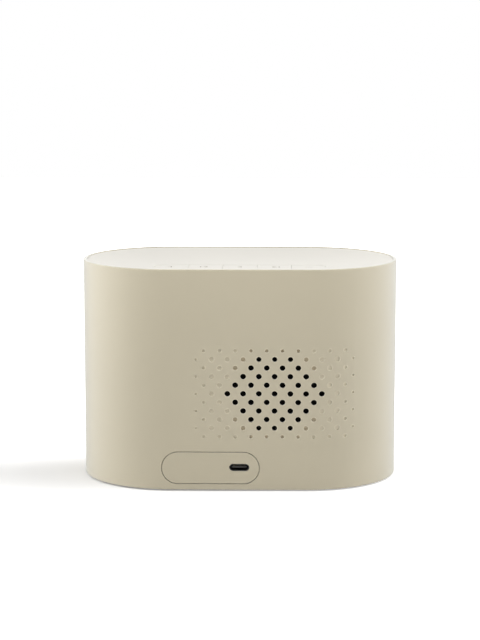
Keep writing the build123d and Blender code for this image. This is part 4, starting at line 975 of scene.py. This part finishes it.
ribbed_grip = grow("ribbed_grip", grip_recipe(), "dial")
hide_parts("dial_grip")

# %% [markdown]
# ### Printed volume dots
# Round the dial, dots that grow from quiet to loud are printed on the milky disc. Ink stands
# proud by a few hundredths of a millimetre. The dots are low discs on an arc, and each one's
# size comes from its place in the row.

# %% Volume dots
DOT_COUNT = 21
DOT_SWEEP = math.radians(280)
SMALL_DOT = 0.28 * MM
LARGE_DOT = 0.80 * MM
DOT_RING = 22.3 * MM
INK_HEIGHT = 0.06 * MM
DOT_SIDES = 20

disc_low = Vector(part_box("glow_disc")[0])


def dots_recipe():
    recipe = Recipe(
        "volume_dots",
        {
            "Count": DOT_COUNT,
            "Ring Radius": DOT_RING,
            "Face": disc_low.y,
            "Axis Height": dial_axis.z,
            "Smallest": SMALL_DOT,
            "Largest": LARGE_DOT,
        },
    )
    row = recipe.add("GeometryNodeMeshLine", sockets={"Count": recipe["Count"]})
    along = recipe.add("GeometryNodeInputIndex") / (recipe["Count"] - 1)
    angle = (along - 0.5) * DOT_SWEEP
    row = recipe.moved_to(
        row,
        angle.sine() * recipe["Ring Radius"],
        recipe["Face"],
        recipe["Axis Height"] + angle.cosine() * recipe["Ring Radius"],
    )
    dot = recipe.add(
        "GeometryNodeMeshCylinder", sockets={"Vertices": DOT_SIDES, "Radius": 1.0, "Depth": 1.0}
    )
    size = recipe["Smallest"] + (recipe["Largest"] - recipe["Smallest"]) * along
    dots = recipe.copies(row, dot, (math.pi / 2, 0, 0), recipe.join(size, size, INK_HEIGHT * 2))
    recipe.end(dots, finishes["plunger_plastic"])
    return recipe


grow("volume_dots", dots_recipe(), "housing")

# %% [markdown]
# ### Contacts of the USB-C socket
# The socket's tongue carries twelve gilded contacts on each side, half a millimetre apart. A
# grid of twelve by two points is laid over the tongue's two faces, with a thin bar at each.

# %% Socket contacts
CONTACT_COUNT = 12
CONTACT_PITCH = 0.5 * MM
CONTACT_WIDTH = 0.26 * MM
CONTACT_LENGTH = 3.6 * MM
CONTACT_HEIGHT = 0.06 * MM
CONTACT_FROM_TIP = 0.55 * MM
GILT_STREAK = 0.2 * MM

tongue_low, tongue_high = (Vector(corner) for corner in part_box("usb_c_tongue"))
plated("gilding", (0.83, 0.60, 0.24), roughness=0.22, streaks=(1, 0.1, 1), streak_size=GILT_STREAK)


def contacts_recipe():
    recipe = Recipe(
        "socket_contacts",
        {
            "Count": CONTACT_COUNT,
            "Pitch": CONTACT_PITCH,
            "Thickness": tongue_high.z - tongue_low.z,
            "Middle X": (tongue_low.x + tongue_high.x) / 2,
            "Middle Y": tongue_high.y - CONTACT_FROM_TIP - CONTACT_LENGTH / 2,
            "Middle Z": (tongue_low.z + tongue_high.z) / 2,
        },
    )
    grid = recipe.add(
        "GeometryNodeMeshGrid",
        sockets={
            "Size X": recipe["Pitch"] * (recipe["Count"] - 1),
            "Size Y": recipe["Thickness"],
            "Vertices X": recipe["Count"],
            "Vertices Y": 2,
        },
    )
    x, y = recipe.spot("X"), recipe.spot("Y")
    grid = recipe.moved_to(grid, recipe["Middle X"] + x, recipe["Middle Y"], recipe["Middle Z"] + y)
    size = (CONTACT_WIDTH, CONTACT_LENGTH, CONTACT_HEIGHT)
    bar = recipe.add("GeometryNodeMeshCube", sockets={"Size": size})
    recipe.end(recipe.copies(grid, bar), finishes["gilding"])
    return recipe


grow("socket_contacts", contacts_recipe(), "housing")

# %% [markdown]
# ### The non-slip pad
# The pad is a round-ended sheet of black silicone with small nubs all over its underside, which
# is what the machine stands on. The sheet is built from rings of one outline, drawn in a little
# round its lower edge. The nubs are copies of one low cone on a staggered grid, and those outside
# the outline are left out.

# %% Pad sheet
NUB_HEIGHT = 0.35 * MM
PAD_ROUND = 0.3 * MM
PAD_ROUND_STEPS = 4
PAD_ARC_STEPS = 48

pad_low, pad_high = (Vector(corner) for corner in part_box("base_pad"))
pad_radius = (pad_high.y - pad_low.y) / 2
pad_straight = (pad_high.x - pad_low.x) / 2 - pad_radius


def round_ended(radius, height):
    """The points of a round-ended outline at a height."""
    points = []
    for side, start in ((1, -math.pi / 2), (-1, math.pi / 2)):
        for step in range(PAD_ARC_STEPS + 1):
            angle = start + math.pi * step / PAD_ARC_STEPS
            x = side * pad_straight + radius * math.cos(angle)
            points.append((x, radius * math.sin(angle), height))
    return points


def stack_of_rings(name, rings):
    """A closed mesh through rings of equal length, with flat ends."""
    work = bmesh.new()
    loops = [[work.verts.new(point) for point in ring] for ring in rings]
    count = len(loops[0])
    for lower, upper in zip(loops, loops[1:]):
        for index in range(count):
            after = (index + 1) % count
            work.faces.new((lower[index], lower[after], upper[after], upper[index]))
    work.faces.new(loops[0])
    work.faces.new(loops[-1])
    bmesh.ops.recalc_face_normals(work, faces=work.faces)
    mesh = bpy.data.meshes.new(name)
    work.to_mesh(mesh)
    work.free()
    piece = bpy.data.objects.new(name, mesh)
    bpy.context.scene.collection.objects.link(piece)
    return piece


pad_rings = []
for step in range(PAD_ROUND_STEPS + 1):
    angle = math.pi / 2 * step / PAD_ROUND_STEPS
    inset = PAD_ROUND * (1 - math.sin(angle))
    drop = PAD_ROUND * (1 - math.cos(angle))
    pad_rings.append(round_ended(pad_radius - inset, pad_low.z + NUB_HEIGHT + drop))
pad_rings.append(round_ended(pad_radius, pad_high.z))
pad_sheet = stack_of_rings("pad_sheet", pad_rings)
pad_sheet.data.materials.append(finishes["pad_rubber"])
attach(pad_sheet, "housing")
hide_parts("base_pad")
pad_length, pad_width = 2 * (pad_straight + pad_radius), 2 * pad_radius
print("pad", round(pad_length / MM, 1), "by", round(pad_width / MM, 1), "mm")

# %% Pad nubs
NUB_PITCH = 3.2 * MM
NUB_ROOT_RADIUS = 0.85 * MM
NUB_TIP_RADIUS = 0.55 * MM
NUB_SIDES = 10
NUB_OVERLAP = 0.2
PAD_MARGIN = 2.0 * MM


def nubs_recipe():
    recipe = Recipe(
        "pad_nubs",
        {
            "Straight": pad_straight,
            "Radius": pad_radius - PAD_MARGIN,
            "Pitch": NUB_PITCH,
            "Bottom": pad_low.z,
            "Height": NUB_HEIGHT,
        },
    )
    rows = (recipe["Radius"] * 2 / recipe["Pitch"]).rounded_up()
    columns = ((recipe["Straight"] + recipe["Radius"]) * 2 / recipe["Pitch"]).rounded_up()
    grid = recipe.add(
        "GeometryNodeMeshGrid",
        sockets={
            "Size X": columns * recipe["Pitch"],
            "Size Y": rows * recipe["Pitch"],
            "Vertices X": columns + 1,
            "Vertices Y": rows + 1,
        },
    )
    row = recipe.add("GeometryNodeInputIndex").remainder(rows + 1)
    shift = (row.remainder(2) - 0.5) * recipe["Pitch"] / 2
    nub_length = recipe["Height"] * (1 + NUB_OVERLAP)
    x, y = recipe.spot("X") + shift, recipe.spot("Y")
    grid = recipe.moved_to(grid, x, y, recipe["Bottom"] + nub_length / 2)
    beyond_straight = (abs(recipe.spot("X")) - recipe["Straight"]).at_least(0)
    across = recipe.spot("Y")
    from_line = (beyond_straight * beyond_straight + across * across) ** 0.5
    outside = from_line.above(recipe["Radius"])
    grid = recipe.add("GeometryNodeDeleteGeometry", sockets={"Geometry": grid, "Selection": outside})
    nub = recipe.add(
        "GeometryNodeMeshCone",
        sockets={
            "Vertices": NUB_SIDES,
            "Radius Top": NUB_ROOT_RADIUS,
            "Radius Bottom": NUB_TIP_RADIUS,
            "Depth": nub_length,
        },
    )
    x, y, z = (recipe.spot(axis) for axis in "XYZ")
    nub = recipe.moved_to(nub, x, y, z - nub_length / 2)
    recipe.end(recipe.copies(grid, nub), finishes["pad_rubber"])
    return recipe


grow("pad_nubs", nubs_recipe(), "housing")

# %% [markdown]
# ## The studio
# The machine stands on white paper, and nothing here belongs to the object. Bright paper is
# exposed almost to white, and strong enough lamps would do that, but they would wash the machine
# out too. So the paper also glows, for the camera alone, which lights nothing. The glow is weaker
# in an oval patch round the machine's +X end, which leaves a soft shadow there. That shadow's
# outline is set by the patch as much as by the lamps.

# %% Floor
FLOOR_SIDE = 3.0
FLOOR_DROP = 0.05 * MM
PAPER_MOTTLE = 0.4
PAPER_GREY, PAPER_PALE = (0.84, 0.84, 0.84), (0.86, 0.86, 0.86)
PATCH_MIDDLE = (0.05, 0.012, 0)
PATCH_FLATTEN = (1, 2.8, 0)
PATCH_FROM, PATCH_TO = 0.04, 0.22
PATCH_GLOW = 0.145

floor_mesh = bpy.data.meshes.new("floor")
half = FLOOR_SIDE / 2
corners = [(-half, -half), (half, -half), (half, half), (-half, half)]
floor_mesh.from_pydata([(x, y, -FLOOR_DROP) for x, y in corners], [], [(0, 1, 2, 3)])
floor = bpy.data.objects.new("floor", floor_mesh)
bpy.context.scene.collection.objects.link(floor)
paper = Finish("floor_paper")
off_patch = paper.distance_from(PATCH_MIDDLE, PATCH_FLATTEN)
fade = paper.step(off_patch, PATCH_FROM, PATCH_TO)
looked_at = paper.add("ShaderNodeLightPath", output="Is Camera Ray")
glow = looked_at * (PATCH_GLOW + (1 - PATCH_GLOW) * fade)
grey = paper.mix(paper.noise(PAPER_MOTTLE), PAPER_GREY, PAPER_PALE)
sheet = paper.add("ShaderNodeBsdfDiffuse", sockets={"Color": grey})
lift = paper.add("ShaderNodeEmission", sockets={"Strength": glow})
glowing_sheet = paper.add("ShaderNodeAddShader", sockets={0: sheet, 1: lift})
paper.add("ShaderNodeOutputMaterial", sockets={"Surface": glowing_sheet})
floor_mesh.materials.append(paper.material)
print("floor", FLOOR_SIDE, "m wide, glow from", PATCH_GLOW, "in the patch to 1 outside it")

# %% [markdown]
# ### The light tent
# The two side walls of a light tent glow, and so do the panels before them, a little to the
# front. Each is a lobe of light in the world: about the cosine of the angle from its middle,
# raised to a power that makes it narrower. Two slim lamps above the rear face make its top edge brighter
# than its foot, a large softbox on the -X side evens the other side out, and one in front fills
# the dial's face. The camera sees the room as plain white, and it sees no lamp.

# %% World
SIDE_PLUS_X = 1.658
SIDE_MINUS_X = 1.270
PANEL_PLUS_X = 4.30
PANEL_MINUS_X = 1.827

world = bpy.data.worlds.new("studio")
bpy.context.scene.world = world
world.use_nodes = True
room = Tree(world.node_tree)
room.tree.nodes.clear()
direction = room.add("ShaderNodeTexCoord", output="Generated")
to_x, to_y = room.split(direction, "X"), room.split(direction, "Y")


def lobe(strength, x, y, power):
    """Light from one side of the room, whose middle lies in this direction."""
    return strength * (x * to_x + y * to_y).at_least(0) ** power


sides = lobe(SIDE_PLUS_X, x=1, y=0, power=2) + lobe(SIDE_MINUS_X, x=-1, y=0, power=2)
plus_panel = lobe(PANEL_PLUS_X, x=0.98, y=-0.17, power=8)
minus_panel = lobe(PANEL_MINUS_X, x=-0.87, y=-0.5, power=3)
seen = room.add("ShaderNodeLightPath", output="Is Camera Ray")
lobes = {"Color": (1, 1, 1, 1), "Strength": sides + plus_panel + minus_panel}
lit = room.add("ShaderNodeBackground", sockets=lobes)
white = room.add("ShaderNodeBackground", sockets={"Color": (1, 1, 1, 1), "Strength": 1.0})
lit_or_white = room.add("ShaderNodeMixShader", sockets={0: seen, 1: lit, 2: white})
room.add("ShaderNodeOutputWorld", sockets={"Surface": lit_or_white})
bpy.context.scene.view_settings.view_transform = "Standard"
print("world nodes", len(room.tree.nodes))


# %% Lamps
def softbox(name, place, aim, size, power):
    """A rectangular area light that faces a point."""
    data = bpy.data.lights.new(name, "AREA")
    data.shape = "RECTANGLE"
    data.size, data.size_y = size
    data.energy = power
    lamp = bpy.data.objects.new(name, data)
    lamp.location = place
    lamp.rotation_euler = (Vector(aim) - Vector(place)).to_track_quat("-Z", "Y").to_euler()
    lamp.visible_camera = False
    bpy.context.scene.collection.objects.link(lamp)


softbox("top_strip", place=(0, 0.30, 0.26), aim=(0, 0.04, 0.08), size=(0.5, 0.06), power=0.057)
softbox("near_strip", place=(0, 0.125, 0.27), aim=(0, 0.045, 0.07), size=(0.45, 0.04), power=0.358)
softbox("key_light", place=(-0.8, -0.15, 0.8), aim=(0, 0, 0.05), size=(0.9, 0.9), power=1.87)
softbox("front_light", place=(0, -1.0, 0.45), aim=(0, 0, 0.08), size=(1.4, 0.5), power=1.21)
